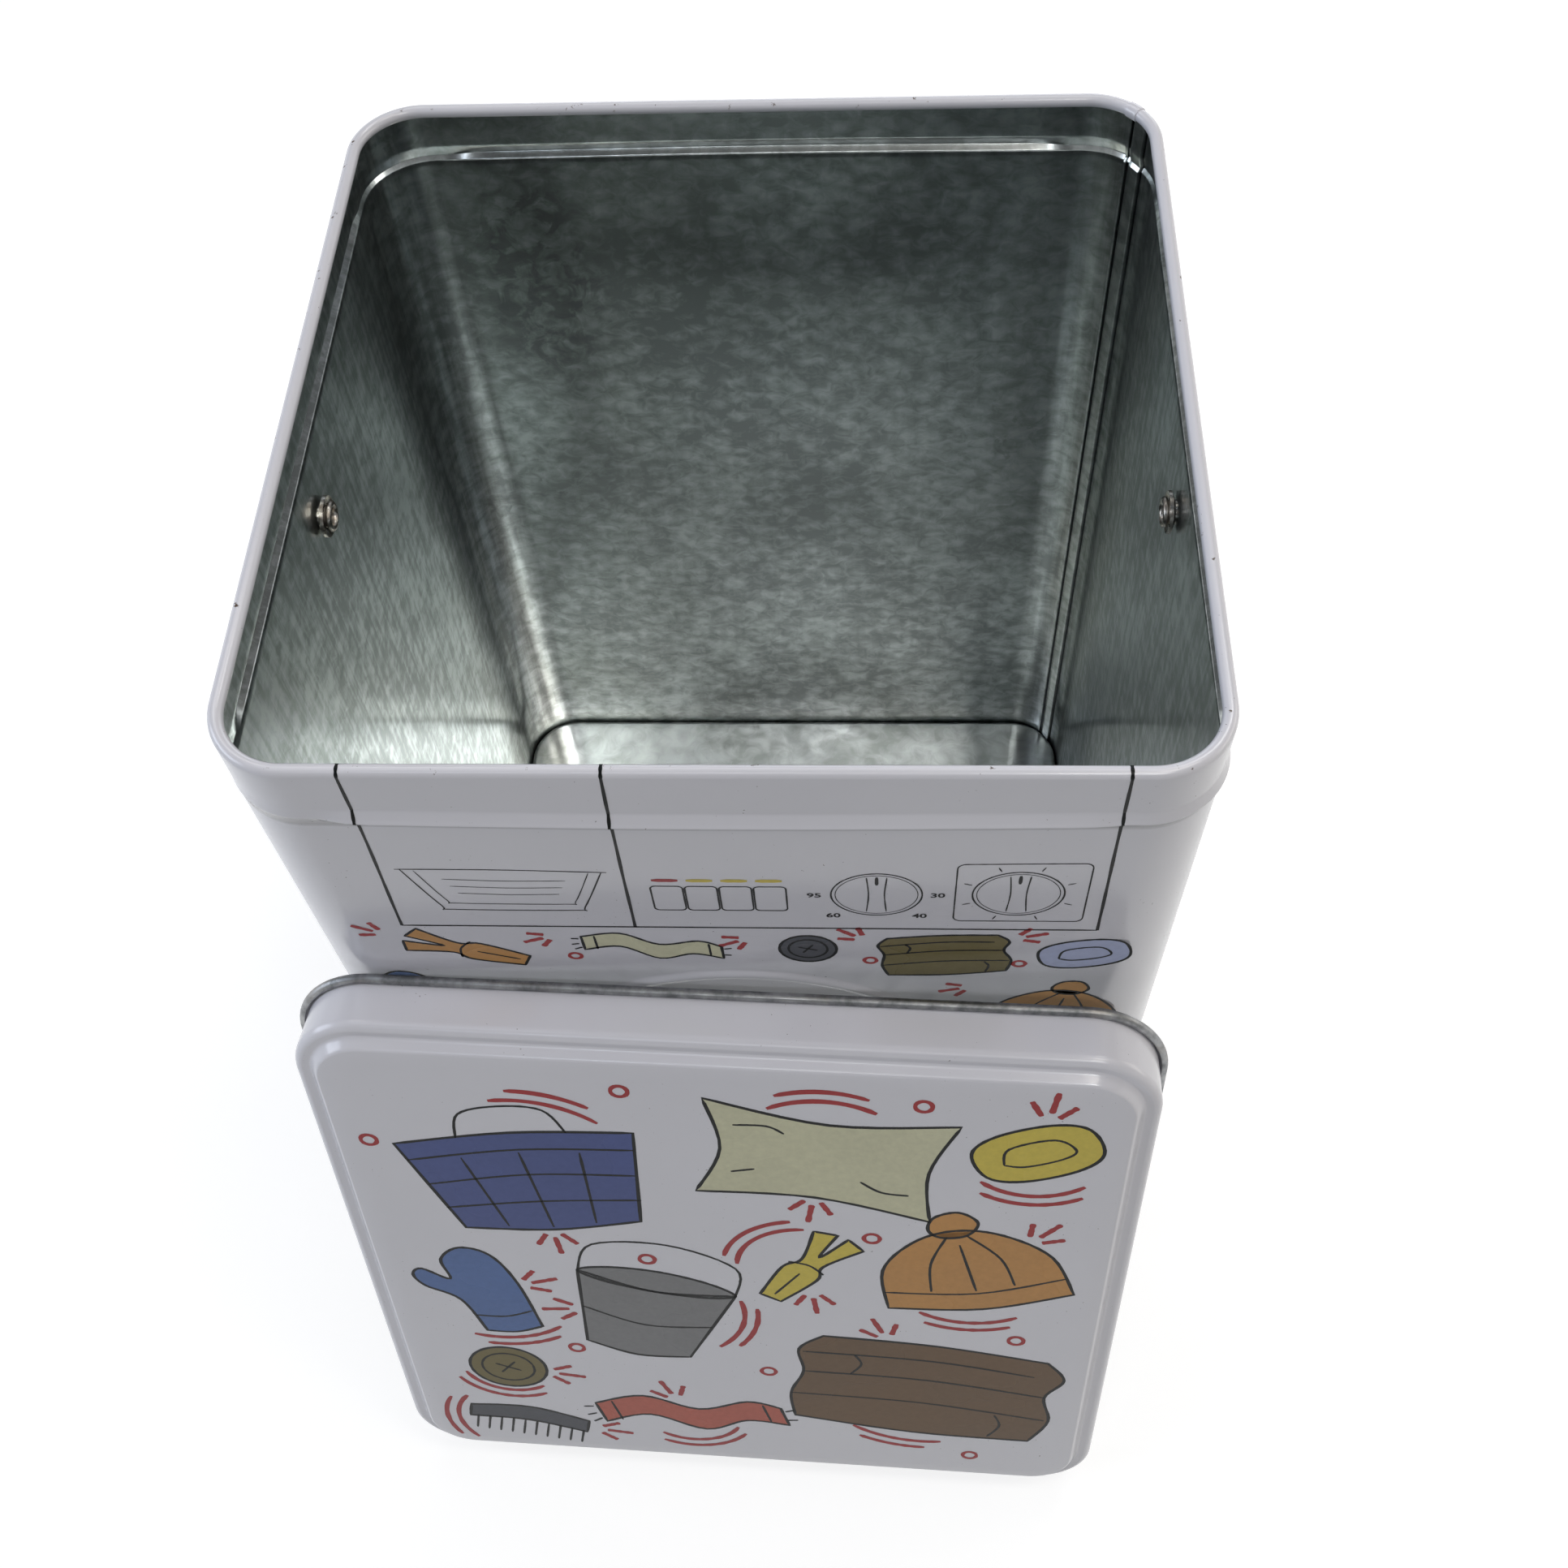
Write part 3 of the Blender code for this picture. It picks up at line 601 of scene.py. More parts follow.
class InkCoat:
    """Patches and lines of ink in the plane of a wall, in millimetres."""

    def __init__(self):
        self.points = []
        self.faces = []
        self.inks = []

    def take(self, points, faces, ink, layer):
        first = len(self.points)
        self.points += [(x, y, INK_RISE[layer]) for x, y in points]
        self.inks += [INKS[ink]] * len(points)
        self.faces += [[first + i for i in f] for f in faces]

    def fill(self, outline, ink):
        count = len(outline)
        edges = [(i, (i + 1) % count) for i in range(count)]
        verts, _, faces, _, _, _ = delaunay_2d_cdt([Vector(p) for p in outline], edges, [list(range(count))], 1, 1e-5)
        self.take([tuple(v) for v in verts], faces, ink, "fill")

    def line(self, path, width, ink="black", closed=False, uneven=0.16):
        count = len(path)
        sides = []
        for i, (x, y) in enumerate(path):
            before = path[(i - 1) % count] if closed else path[max(0, i - 1)]
            after = path[(i + 1) % count] if closed else path[min(count - 1, i + 1)]
            run = math.hypot(after[0] - before[0], after[1] - before[1]) or 1.0
            half = 0.5 * width * (1 + uneven * math.sin(1.3 * i + x) * math.cos(0.37 * i))
            if not closed and i in (0, count - 1):
                half *= 0.6
            nx, ny = -(after[1] - before[1]) / run * half, (after[0] - before[0]) / run * half
            sides += [(x + nx, y + ny), (x - nx, y - ny)]
        last = count if closed else count - 1
        faces = [(2 * i + 1, (2 * i + 3) % (2 * count), (2 * i + 2) % (2 * count), 2 * i) for i in range(last)]
        self.take(sides, faces, ink, "line")

    def drawing(self, motif, place, turn, size, ink, pen):
        """One household thing: a filled outline with pen lines."""
        outlines, lines = MOTIFS[motif]
        c, s = math.cos(math.radians(turn)) * size, math.sin(math.radians(turn)) * size

        def put(points):
            return [(place[0] + x * c - y * s, place[1] + x * s + y * c) for x, y in points]

        for outline in outlines:
            edge = flowing(put(outline), True)
            self.fill(edge, ink)
            self.line(edge, pen, closed=True)
        for line in lines:
            self.line(flowing(put(line)), pen * 0.8)

    def ticks(self, x, y, turn, width, size=1.0):
        """Three short red strokes that fan out."""
        for spread, near, far in ((-34, 3.2, 8.5), (0, 4.0, 11.0), (34, 3.2, 8.5)):
            a = math.radians(turn + spread)
            reach = (near, (near + far) / 2, far)
            self.line(flowing([(x + math.cos(a) * r * size, y + math.sin(a) * r * size) for r in reach]),
                      width, "red")

    def arcs(self, x, y, radius, start, end, width):
        """Two red strokes, one inside the other, that follow a thing's side."""
        for r, cut in ((radius, 0.0), (radius + 3.2, 9.0)):
            path = [(x + r * math.cos(math.radians(a)), y + r * math.sin(math.radians(a)))
                    for a in (start + cut + (end - start - 2 * cut) * i / 14 for i in range(15))]
            self.line(path, width, "red")

    def spot(self, x, y, radius, width):
        self.line(ring_of(x, y, radius, 18), width, "red", closed=True)


MOTIFS = {
    "beanie": (
        [[(-19, -9), (-19, -9), (-17, 5), (-9, 14), (0, 17), (9, 14), (17, 5), (19, -9), (19, -9), (0, -12)],
         [(-5, 18), (-3, 22), (2, 23), (5, 19), (2, 15), (-3, 15)]],
        [[(-18.5, -3), (0, -6), (18.5, -3)], [(-9, -4), (-7, 6), (-2, 15)], [(8, -4), (7, 6), (2, 15)],
         [(0, -5), (0, 12)]]),
    "mitten": (
        [[(-7, -17), (-7, -17), (-8, -3), (-14, 4), (-15, 9), (-12, 11), (-7, 6), (-6, 14), (0, 18), (6, 14),
          (8, 2), (7, -17), (7, -17), (0, -18.5)]],
        [[(-7, -10), (0, -11.5), (7, -10)]]),
    "blanket": (
        [[(-29, -19), (-29, -19), (-31, -8), (-29, 3), (-31, 13), (-26, 20), (-26, 20), (0, 21), (26, 19), (26, 19),
          (31, 12), (28, 3), (31, -8), (28, -19), (28, -19), (0, -21)]],
        [[(-29, 3), (0, 5), (28, 3)], [(-31, -8), (0, -6), (30, -8)], [(-30, 12), (0, 14), (24, 12)],
         [(18, -19), (20, -13), (18, -8)], [(-18, 4), (-16, 9), (-18, 13)]]),
    "pillow": (
        [[(-26, -17), (-26, -17), (-22, 0), (-27, 17), (-27, 17), (0, 13), (27, 18), (27, 18), (23, 0), (26, -18),
          (26, -18), (0, -14)]],
        [[(-20, 9), (-13, 10), (-9, 8)], [(20, -9), (14, -9), (9, -6)], [(-19, -8), (-14, -6)]]),
    "basket": (
        [[(-26, 12), (-26, 12), (0, 14), (26, 12), (26, 12), (20, -20), (20, -20), (0, -22), (-20, -20), (-20, -20)]],
        [[(-25, 6), (0, 8), (25, 6)], [(-23, -3), (0, -1), (23, -3)], [(-22, -12), (0, -11), (22, -12)],
         [(-13, 6), (-10, -20)], [(0, 7), (0, -21)], [(13, 6), (10, -20)],
         [(-12, 13), (-9, 21), (0, 23), (9, 21), (12, 13)]]),
    "bucket": (
        [[(-19, 12), (-19, 12), (0, 8), (19, 12), (19, 12), (13, -20), (13, -20), (0, -23), (-13, -20), (-13, -20)],
         [(-19, 12), (-12, 15.5), (0, 17), (12, 15.5), (19, 12), (12, 9), (0, 8), (-12, 9)]],
        [[(-19, 12), (-17, 24), (0, 29), (17, 24), (19, 12)], [(-16, -4), (0, -8), (16, -4)]]),
    "soap": (
        [[(-13, -5), (-13, 4), (-6, 8), (6, 8), (13, 4), (13, -5), (6, -9), (-6, -9)]],
        [[(-8, -2), (-5, 3), (5, 3), (8, -2), (4, -4), (-4, -4), (-8, -2)]]),
    "peg": (
        [[(-3, -17), (-3, -17), (-5, -3), (-3, 3), (-7, 15), (-7, 15), (-1.5, 17), (-1.5, 17), (0, 6), (1.5, 17),
          (1.5, 17), (7, 15), (7, 15), (3, 3), (5, -3), (3, -17), (3, -17)]],
        [[(-5, 0), (0, 1.5), (5, 0)], [(0, -3), (0, -15)]]),
    "scarf": (
        [[(-27, 8), (-27, 8), (-12, 12), (3, 4), (18, 8), (27, 4), (27, 4), (28, -6), (28, -6), (16, -3), (3, -8),
          (-12, 1), (-26, -3), (-26, -3)]],
        [[(-22, 9), (-21, -2)], [(22, 6), (23, -4)], [(-28, 6), (-31, 6)], [(-28, 2), (-31, 1)],
         [(-27, -1), (-30, -3)], [(28, 2), (31, 3)], [(28, -3), (31, -3)]]),
    "button": (
        [ring_of(0, 0, 11, 14)],
        [ring_of(0, 0, 7.5, 14) + [(7.5, 0)], [(-3, 2.5), (3, -2.5)], [(-3, -2.5), (3, 2.5)]]),
    "comb": (
        [[(-15, 4), (-15, 4), (0, 7), (15, 4), (15, 4), (15, -2), (15, -2), (0, 0), (-15, -2), (-15, -2)]],
        [[(x, -1.5 + 0.006 * (225 - x * x)), (x, -8)] for x in (-13, -10, -7, -4, -1, 2, 5, 8, 11, 14)]),
}


def ink_finish():
    """Offset ink under clear varnish: its colour comes from the print, slightly uneven as ink lies on tin."""
    mat, tree, shader = new_material("printing_ink", Specular_IOR_Level=0.12)
    place = mapped(tree)
    wide = noise(tree, place, 45.0, 2.0)
    shade = calc(tree, "ADD", remap(tree, noise(tree, place, 620.0, 3.0, 0.6), 0.3, 0.7, 0.94, 1.04),
                 remap(tree, wide, 0.3, 0.7, -0.03, 0.03))
    tinted = add(tree, "ShaderNodeVectorMath", operation="SCALE", Scale=shade)
    link(tree, add(tree, "ShaderNodeAttribute", attribute_name="ink").outputs["Color"], tinted.inputs[0])
    feed(shader, Base_Color=tinted.outputs[0], Roughness=remap(tree, wide, 0.3, 0.75, 0.22, 0.34),
         Normal=bump(tree, noise(tree, place, 1100.0, 2.0), 0.05, 0.0002))
    return mat


ink_material = ink_finish()


def printed(name, points, faces, inks, outward):
    """Ink mesh with its colours, facing outwards."""
    mesh = bpy.data.meshes.new(name)
    mesh.from_pydata(points, [], faces)
    color = mesh.color_attributes.new("ink", "FLOAT_COLOR", "POINT")
    color.data.foreach_set("color", [c for ink in inks for c in (*ink, 1.0)])
    bm = bmesh.new()
    bm.from_mesh(mesh)
    bmesh.ops.dissolve_degenerate(bm, dist=0.0000001, edges=bm.edges)
    for face in bm.faces:
        face.normal_update()
        if face.normal.dot(Vector(outward)) < 0:
            face.normal_flip()
    bm.to_mesh(mesh)
    bm.free()
    mesh.materials.append(ink_material)
    obj = add_object(name, mesh)
    return obj


def round_box(x0, y0, x1, y1, radius):
    """Outline of a rectangle with rounded corners."""
    line = []
    left, right, low, high = x0 + radius, x1 - radius, y0 + radius, y1 - radius
    for cx, cy, turn in ((right, high, 0), (left, high, 90), (left, low, 180), (right, low, 270)):
        line += arc(cx, cy, radius, turn, turn + 90, 5)
    out = []
    for a, b in zip(line, line[1:] + line[:1]):
        pieces = max(1, int(math.hypot(b[0] - a[0], b[1] - a[1]) / 1.5))
        out += [(a[0] + (b[0] - a[0]) * i / pieces, a[1] + (b[1] - a[1]) * i / pieces) for i in range(pieces)]
    return out


def down(x, depth):
    """Point of the front wall, with its depth below the rim's top."""
    return (x, HEIGHT * 1000 - depth)


front = InkCoat()
PANEL_LINES = ((-64.5, -65.9), (-18.9, -19.3), (70.7, 71.0))
PANEL_FOOT = 56.0
PANEL_HALF = 0.00031
PEN = 0.62
TICK = 1.15


def stroke(points, width, *ink, **how):
    """Line on the front wall through points that give their depth below the rim's top."""
    front.line([down(x, depth) for x, depth in points], width, *ink, **how)


left, right = PANEL_LINES[0][1], PANEL_LINES[2][1]
stroke([(left + (right - left) * i / 40, PANEL_FOOT) for i in range(41)], 0.5, uneven=0.08)
for path, width in (
        ([(-61, 33), (-61, 33), (-56, 47.5), (-54, 49), (-30, 49), (-28, 47.5), (-23, 33), (-23, 33)], 0.32),
        ([(-58.5, 33.4), (-54.5, 45.2), (-52.5, 46.4), (-31.5, 46.4), (-29.5, 45.2), (-25.5, 33.4)], 0.24),
        ([(-62, 33), (-42, 32.6), (-22, 33)], 0.32)):
    stroke(flowing(path), width)
for lift in (36.6, 39.4, 42.2):
    inset = (lift - 33) * 0.35
    stroke(flowing([(-55 + inset, lift), (-42, lift + 0.4), (-29 - inset, lift)]), 0.2)
for key, ink in enumerate(("red", "amber", "amber", "amber")):
    x = -14.5 + 6.5 * key
    stroke(round_box(x, 38.3, x + 6.1, 48.5, 1.0), 0.36, closed=True)
    stroke([(x + 0.5 + 1.25 * i, 35.9) for i in range(5)], 1.25, ink, uneven=0.05)
DIALS = ((28.1, 41.6), (54.7, 41.3))
for x, y in DIALS:
    stroke(ring_of(x, y, 8.6, 56), 0.34, closed=True)
    stroke(ring_of(x, y, 7.8, 56), 0.18, closed=True)
    stroke(flowing([(x - 1.9, y - 7.0), (x - 1.5, y), (x - 1.9, y + 7.0)]), 0.28)
    stroke(flowing([(x + 1.9, y - 7.0), (x + 1.5, y), (x + 1.9, y + 7.0)]), 0.28)
    stroke([(x, y - 7.2 + 0.8 * i) for i in range(5)], 0.7, uneven=0.05)
stroke(round_box(42.9, 29.6, 67.6, 52.4, 1.6), 0.3, closed=True)
for k in range(8):
    a = math.radians(22.5 + 45 * k)
    stroke([(DIALS[1][0] + r * math.cos(a), DIALS[1][1] + r * math.sin(a)) for r in (9.6, 10.4, 11.2)], 0.3)
for motif, x, y, turn, size, ink in (
        ("peg", -55, 66.5, 68, 0.75, "orange"), ("scarf", -17, 65.5, -4, 0.52, "cream"),
        ("button", 14.5, 65.0, 20, 0.52, "charcoal"), ("blanket", 42, 67.5, 6, 0.42, "olive"),
        ("soap", 69.5, 66.0, 14, 0.66, "lavender"), ("mitten", -69, 92, 12, 0.85, "blue"),
        ("beanie", 66, 96, -10, 0.75, "orange"), ("pillow", -62, 140, 74, 0.66, "cream"),
        ("bucket", 67, 140, -4, 0.62, "grey"), ("basket", -58, 202, 6, 0.85, "navy"),
        ("comb", -14, 190, -8, 1.0, "charcoal"), ("blanket", 26, 212, 3, 0.70, "brown"),
        ("soap", 70, 186, -20, 0.9, "amber"), ("scarf", -22, 226, 5, 0.72, "lavender"),
        ("beanie", -14, 138, 8, 0.95, "brick"), ("peg", 22, 118, -30, 0.9, "amber"),
        ("mitten", 20, 148, 160, 0.8, "olive")):
    front.drawing(motif, down(x, y), turn, size, ink, PEN)
for x, y, turn in (
        (-36, 60, 205), (-70, 60, 150), (3, 60.5, 210), (26, 61, 140), (55, 60, 20), (-48, 84, -20), (48, 82, 200),
        (-46, 158, -60), (50, 160, 230), (-30, 182, 40), (52, 196, 160), (-70, 172, 90), (2, 108, 80), (34, 134, 20),
        (-38, 122, 150)):
    front.ticks(*down(x, y), turn, TICK, 0.66)
for x, y in ((-33, 69), (27, 70), (57, 71), (-50, 108), (48, 118), (-6, 176), (4, 234), (60, 222)):
    front.spot(*down(x, y), 1.25, 0.8)
FIGURE_TALL = 2.7
for number, x, y in (("95", 14.9, 42.6), ("60", 18.4, 51.2), ("40", 35.0, 51.2), ("30", 38.2, 42.6)):
    word = bpy.data.objects.new("number", bpy.data.curves.new("number", "FONT"))
    word.data.body = number
    word.data.size = FIGURE_TALL
    word.data.offset = 0.07
    word.data.resolution_u = 3
    bpy.context.scene.collection.objects.link(word)
    digits = plain_mesh(word)
    left, foot = down(x, y)
    front.take([(left + v.co.x * 1.05, foot + v.co.y * 0.9) for v in digits.vertices],
               [list(f.vertices) for f in digits.polygons], "black", "line")

points = []
for x, z, rise in front.points:
    x, z = x / 1000, z / 1000
    px, py = settle(x, -HALF - rise, z)
    points.append((px, py + TIN_Y, z))
faces = list(front.faces)
inks = list(front.inks)
thin = INK_RISE["line"]
foot = HEIGHT - PANEL_FOOT / 1000
rows = arc(-RIM_R, HEIGHT - RIM_R, RIM_R + thin, 150, 0, 16)
rows += [(out + thin, up) for out, up in [(0.0, HEIGHT - drop) for drop in (0.0035, 0.006, 0.0085)] + bead_run()]
rows += [(thin, BEAD_FOOT - 0.0025 * i) for i in range(1, 17) if BEAD_FOOT - 0.0025 * i > foot]
rows.append((thin, foot))
for top_x, foot_x in PANEL_LINES:
    first = len(points)
    for k, (out, up) in enumerate(rows):
        half = PANEL_HALF * (1 + 0.12 * math.sin(k * 1.1))
        line_x = top_x + (foot_x - top_x) * smooth_step(BEAD_TOP, HEIGHT - 1.15 * PANEL_FOOT / 1000, up)
        for side in (-1, 1):
            px, py = settle(line_x / 1000 + side * half, -HALF - out, up)
            points.append((px, py + TIN_Y, up))
    inks += [INKS["black"]] * (2 * len(rows))
    faces += [(first + 2 * k, first + 2 * k + 2, first + 2 * k + 3, first + 2 * k + 1) for k in range(len(rows) - 1)]
front_print = printed("front_print", points, faces, inks, (0, -1, 0.02))
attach(front_print, "tin")


# Base
# A drawn tinplate panel, recessed above the floor, with a rounded shoulder all round. Its edge is hooked
# round the body's flange and rolled into a double seam that the can stands on.


def base_section():
    chuck = -2 * SHEET - 0.0003
    shoulder = 0.0012
    hook = 0.0014
    foot = 0.0006
    panel = [(chuck - shoulder - 0.004, PANEL_Z)] + arc(chuck - shoulder, PANEL_Z - shoulder, shoulder, 90, 0, 10)
    toe = arc(chuck + foot, foot, foot, 180, 270, 8)
    heel = arc(hook - foot, foot, foot, 270, 360, 8)
    crown = 0.00055
    return panel + toe + heel + arc(hook - crown, 0.0031 - crown, crown, 0, 170, 12)


def fill_flat(mesh, height, outward):
    """Closes the flat opening whose edge lies at this height."""
    bm = bmesh.new()
    bm.from_mesh(mesh)
    edges = [e for e in bm.edges if e.is_boundary and all(abs(v.co.z - height) < 1e-6 for v in e.verts)]
    made = bmesh.ops.contextual_create(bm, geom=edges)["faces"]
    bmesh.ops.recalc_face_normals(bm, faces=bm.faces)
    if made[0].normal.z * outward < 0:
        bmesh.ops.reverse_faces(bm, faces=bm.faces)
    bm.to_mesh(mesh)
    bm.free()


# Painted light: the base plate's tone is set far brighter than the body's bare tinplate, standing in for the bright
# reflection that the inside floor shows.
painted_light_floor_plate = bare_tinplate("base_tinplate_painted_light", 0.0048, (0.92, 0.94, 0.91), 0.05)
base_mesh = carried_sheet("base_plate", base_section(), HALF, HALF, CORNER, painted_light_floor_plate)
fill_flat(base_mesh, PANEL_Z, -1)
base_mesh.transform(Matrix.Translation((0, TIN_Y, 0)))
base = thickened("base_plate", base_mesh, painted_light_floor_plate)
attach(base, "tin")
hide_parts("base_panel")


# Rivets and washers
# A steel tubular rivet through each side wall carries the bail: a domed head outside over the wire's
# eye, a flat washer against the wall outside, and inside a cupped washer under the rivet's rolled end.

PIVOT = Vector((0.0, TIN_Y - 0.006, BEAD_FOOT - 0.0148))


def plated_steel(name, scale, dark, light, rough, fine, relief):
    """Plated steel with dull and bright patches of this scale and a finer unevenness."""
    mat, tree, shader = new_material(name, Metallic=1.0)
    patches = noise(tree, mapped(tree), scale, 4.0, 0.6)
    feed(shader, Base_Color=mix_colors(tree, remap(tree, patches, 0.35, 0.65, 0.0, 1.0), dark, light),
         Roughness=remap(tree, patches, 0.3, 0.7, *rough),
         Normal=bump(tree, noise(tree, mapped(tree), fine, 2.0), relief, 0.0001))
    return mat


nickel = plated_steel("worn_nickel", 700.0, (0.30, 0.26, 0.22), (0.55, 0.53, 0.49), (0.42, 0.22), 2600.0, 0.12)


def pair_tree():
    """Sets a turned piece on both side walls, the left one facing the other way."""
    tree, given = new_tree("pair_on_walls", "Pair", Piece="Geometry", Wall_Distance="Float", Pivot="Vector",
                           Finish="Material")
    join = add(tree, "GeometryNodeJoinGeometry")
    for sign, turn in ((1.0, 0.0), (-1.0, math.pi)):
        offset = add(tree, "ShaderNodeCombineXYZ", X=calc(tree, "MULTIPLY", given["Wall Distance"], sign))
        place = add(tree, "ShaderNodeVectorMath", operation="ADD")
        link(tree, offset.outputs[0], place.inputs[0])
        link(tree, given["Pivot"], place.inputs[1])
        move = add(tree, "GeometryNodeTransform", Rotation=(0.0, 0.0, turn), Geometry=given["Piece"],
                   Translation=place.outputs[0])
        link(tree, move.outputs["Geometry"], join.inputs["Geometry"])
    return finish_tree(tree, given, join.outputs["Geometry"])


wall_pair = pair_tree()


def turned_along_x(name, profile, steps=48):
    """Closed profile of (radius, distance out from the wall) turned about the X axis."""
    bm = bmesh.new()
    verts = [bm.verts.new((out, 0.0, radius)) for radius, out in profile]
    edges = [bm.edges.new((a, b)) for a, b in zip(verts, verts[1:] + verts[:1])]
    bmesh.ops.spin(bm, geom=verts + edges, cent=(0, 0, 0), axis=(1, 0, 0), angle=2 * math.pi, steps=steps,
                   use_merge=True)
    bmesh.ops.remove_doubles(bm, verts=bm.verts, dist=0.000002)
    bmesh.ops.recalc_face_normals(bm, faces=bm.faces)
    mesh = filled(bm, name)
    mesh.shade_smooth()
    mesh.set_sharp_from_angle(angle=math.radians(38))
    return mesh


def wall_pair_piece(name, profile, nodes):
    host = add_object(name, turned_along_x(name, profile))
    obj = add_object(name, through_tree(host, wall_pair, {"Wall Distance": HALF, "Pivot": PIVOT, "Finish": nickel}))
    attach(obj, "tin")
    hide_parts(*nodes)
    return obj


EYE_OUT = 0.0032
HEAD_R = 0.0052
SHANK_R = 0.0025
head = EYE_OUT + 0.0021
clinch = -0.0020
dome = [math.radians(a) for a in range(15, 91, 15)]
rivet_profile = [(0.0, head + 0.0016)]
rivet_profile += [(HEAD_R * math.sin(a), head + 0.0004 + 0.0012 * math.cos(a)) for a in dome]
rivet_profile += [(0.0051, head), (SHANK_R, head), (SHANK_R, clinch - 0.0001)]
rivet_profile += arc(0.0026, clinch - 0.00055, 0.00065, 60, -160, 16)
rivet_profile += [(0.0019, clinch - 0.0003), (0.0018, clinch + 0.0004), (0.0017, 0.0), (0.0, 0.0)]
wall_pair_piece("rivets", rivet_profile, ("rivet_left", "rivet_right"))

cup = [(0.0028, -0.0014), (0.0034, -0.00155), (0.0040, -0.00178), (0.0043, -0.00195), (0.00446, -0.00198)]
cup += [(0.0045, -0.0018), (0.0045, -0.00125), (0.0043, -0.00115), (0.0038, -0.00095), (0.0028, -0.0006)]
wall_pair_piece("inner_washers", cup[::-1], ("inner_washer_left", "inner_washer_right"))

flat = [(0.0028, 0.0011), (0.0043, 0.0011), (0.0045, 0.0009), (0.0045, 0.0005), (0.0043, 0.0003), (0.0028, 0.0003)]
wall_pair_piece("outer_washers", flat, ("outer_washer_left", "outer_washer_right"))


# Bail
# One length of zinc-plated steel wire with an open eye bent at each end round its rivet. The arms are
# set outwards to clear the lid, and a pressed stop on each side keeps the roller in the middle.

WIRE_R = 0.0018
STOP = 0.003
GRIP_HALF = 0.044
GRIP_R = 0.010
REACH = 0.118
BEND = 0.014
ARM_X = 0.0958
EYE_X = HALF + EYE_OUT
EYE_R = 0.0050
ACROSS = HALF + 0.0003 + GRIP_R + 0.006
DROOP = math.acos(ACROSS / REACH)


def wire_path_tree():
    """Draws a round wire along a path, thicker where its stops are pressed."""
    tree, given = new_tree("drawn_wire", "Wire", Path="Geometry", Wire_Radius="Float", Sides="Int", Finish="Material")
    path = add(tree, "GeometryNodeMeshToCurve", Mesh=given["Path"])
    swell = add(tree, "GeometryNodeInputNamedAttribute", data_type="FLOAT", Name="swell").outputs["Attribute"]
    thick = add(tree, "GeometryNodeSetCurveRadius", Curve=path.outputs["Curve"], Radius=swell)
    round_wire = add(tree, "GeometryNodeCurvePrimitiveCircle", Radius=given["Wire Radius"], Resolution=given["Sides"])
    sweep = add(tree, "GeometryNodeCurveToMesh", Curve=thick.outputs["Curve"],
                Profile_Curve=round_wire.outputs["Curve"], Fill_Caps=True)
    if "Scale" in sweep.inputs:
        link(tree, swell, sweep.inputs["Scale"])
    return finish_tree(tree, given, sweep.outputs["Mesh"])


def bail_side():
    """Right half of the wire from its eye to the middle: (x, along, up, swell), pivot at the origin."""
    side = [(EYE_X, y, z, 1.0) for y, z in arc(0, 0, EYE_R, 350, 90, 34)]
    for i in range(13):
        t = i / 12
        y = 0.002 + 0.010 * t
        side.append((EYE_X + (ARM_X - EYE_X) * ease(t), y, EYE_R * (1 - y / (REACH - BEND)), 1.0))
    side += [(x, y, 0.0, 1.0) for x, y in arc(ARM_X - BEND, REACH - BEND, BEND, 0, 90, 20)]
    far = GRIP_HALF + 0.0005 + STOP
    for i in range(13):
        t = i / 12
        swell = 1.0 + 0.45 * math.sin(math.pi * t) ** 0.5 if 0 < i < 12 else 1.0
        side.append((far - STOP * t, REACH, 0.0, swell))
    return side


zinc = plated_steel("zinc_steel", 160.0, (0.42, 0.42, 0.41), (0.60, 0.60, 0.60), (0.38, 0.24), 1800.0, 0.1)
side = bail_side()
whole = [(-x, y, z, s) for x, y, z, s in side] + side[::-1]
path_mesh = bpy.data.meshes.new("bail")
path_mesh.from_pydata([(x, y, z) for x, y, z, s in whole], [(i, i + 1) for i in range(len(whole) - 1)], [])
attribute = path_mesh.attributes.new("swell", "FLOAT", "POINT")
attribute.data.foreach_set("value", [s for x, y, z, s in whole])
host = add_object("bail", path_mesh)
bail_mesh = through_tree(host, wire_path_tree(), {"Wire Radius": WIRE_R, "Sides": 20, "Finish": zinc})
BAIL_PLACE = Matrix.Translation(PIVOT) @ Matrix.Rotation(-DROOP, 4, "X")
bail_mesh.transform(BAIL_PLACE)
bail_mesh.shade_smooth()
bail_mesh.set_sharp_from_angle(angle=math.radians(50))
bail = add_object("bail", bail_mesh)
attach(bail, "bail")
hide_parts("bail_wire")


# Roller grip
# A barrel turned from beech, bored through and threaded on the bail's wire, with a scribed line near
# each rounded end.

GRIP_END_R = 0.0078
GRIP_EDGE = 0.0012
BORE_R = 0.0022
SCRIBE = 0.0360
SCRIBE_HALF = 0.0006
SCRIBE_DEEP = 0.0004


def beech():
    """Oiled beech: straight grain along the roller with short darker flecks."""
    mat, tree, shader = new_material("turned_beech")
    grain = noise(tree, mapped(tree, (0.06, 1.0, 1.0)), 420.0, 5.0, 0.6, 0.4)
    flecks = noise(tree, mapped(tree, (0.12, 1.0, 1.0)), 1500.0, 2.0)
    color = mix_colors(tree, remap(tree, grain, 0.3, 0.7, 0.0, 1.0), (0.42, 0.23, 0.11), (0.66, 0.43, 0.23))
    color = mix_colors(tree, remap(tree, flecks, 0.62, 0.72, 0.0, 0.6), color, (0.25, 0.12, 0.05))
    feed(shader, Base_Color=color, Roughness=remap(tree, grain, 0.3, 0.7, 0.5, 0.38),
         Normal=bump(tree, grain, 0.2, 0.0002))
    return mat


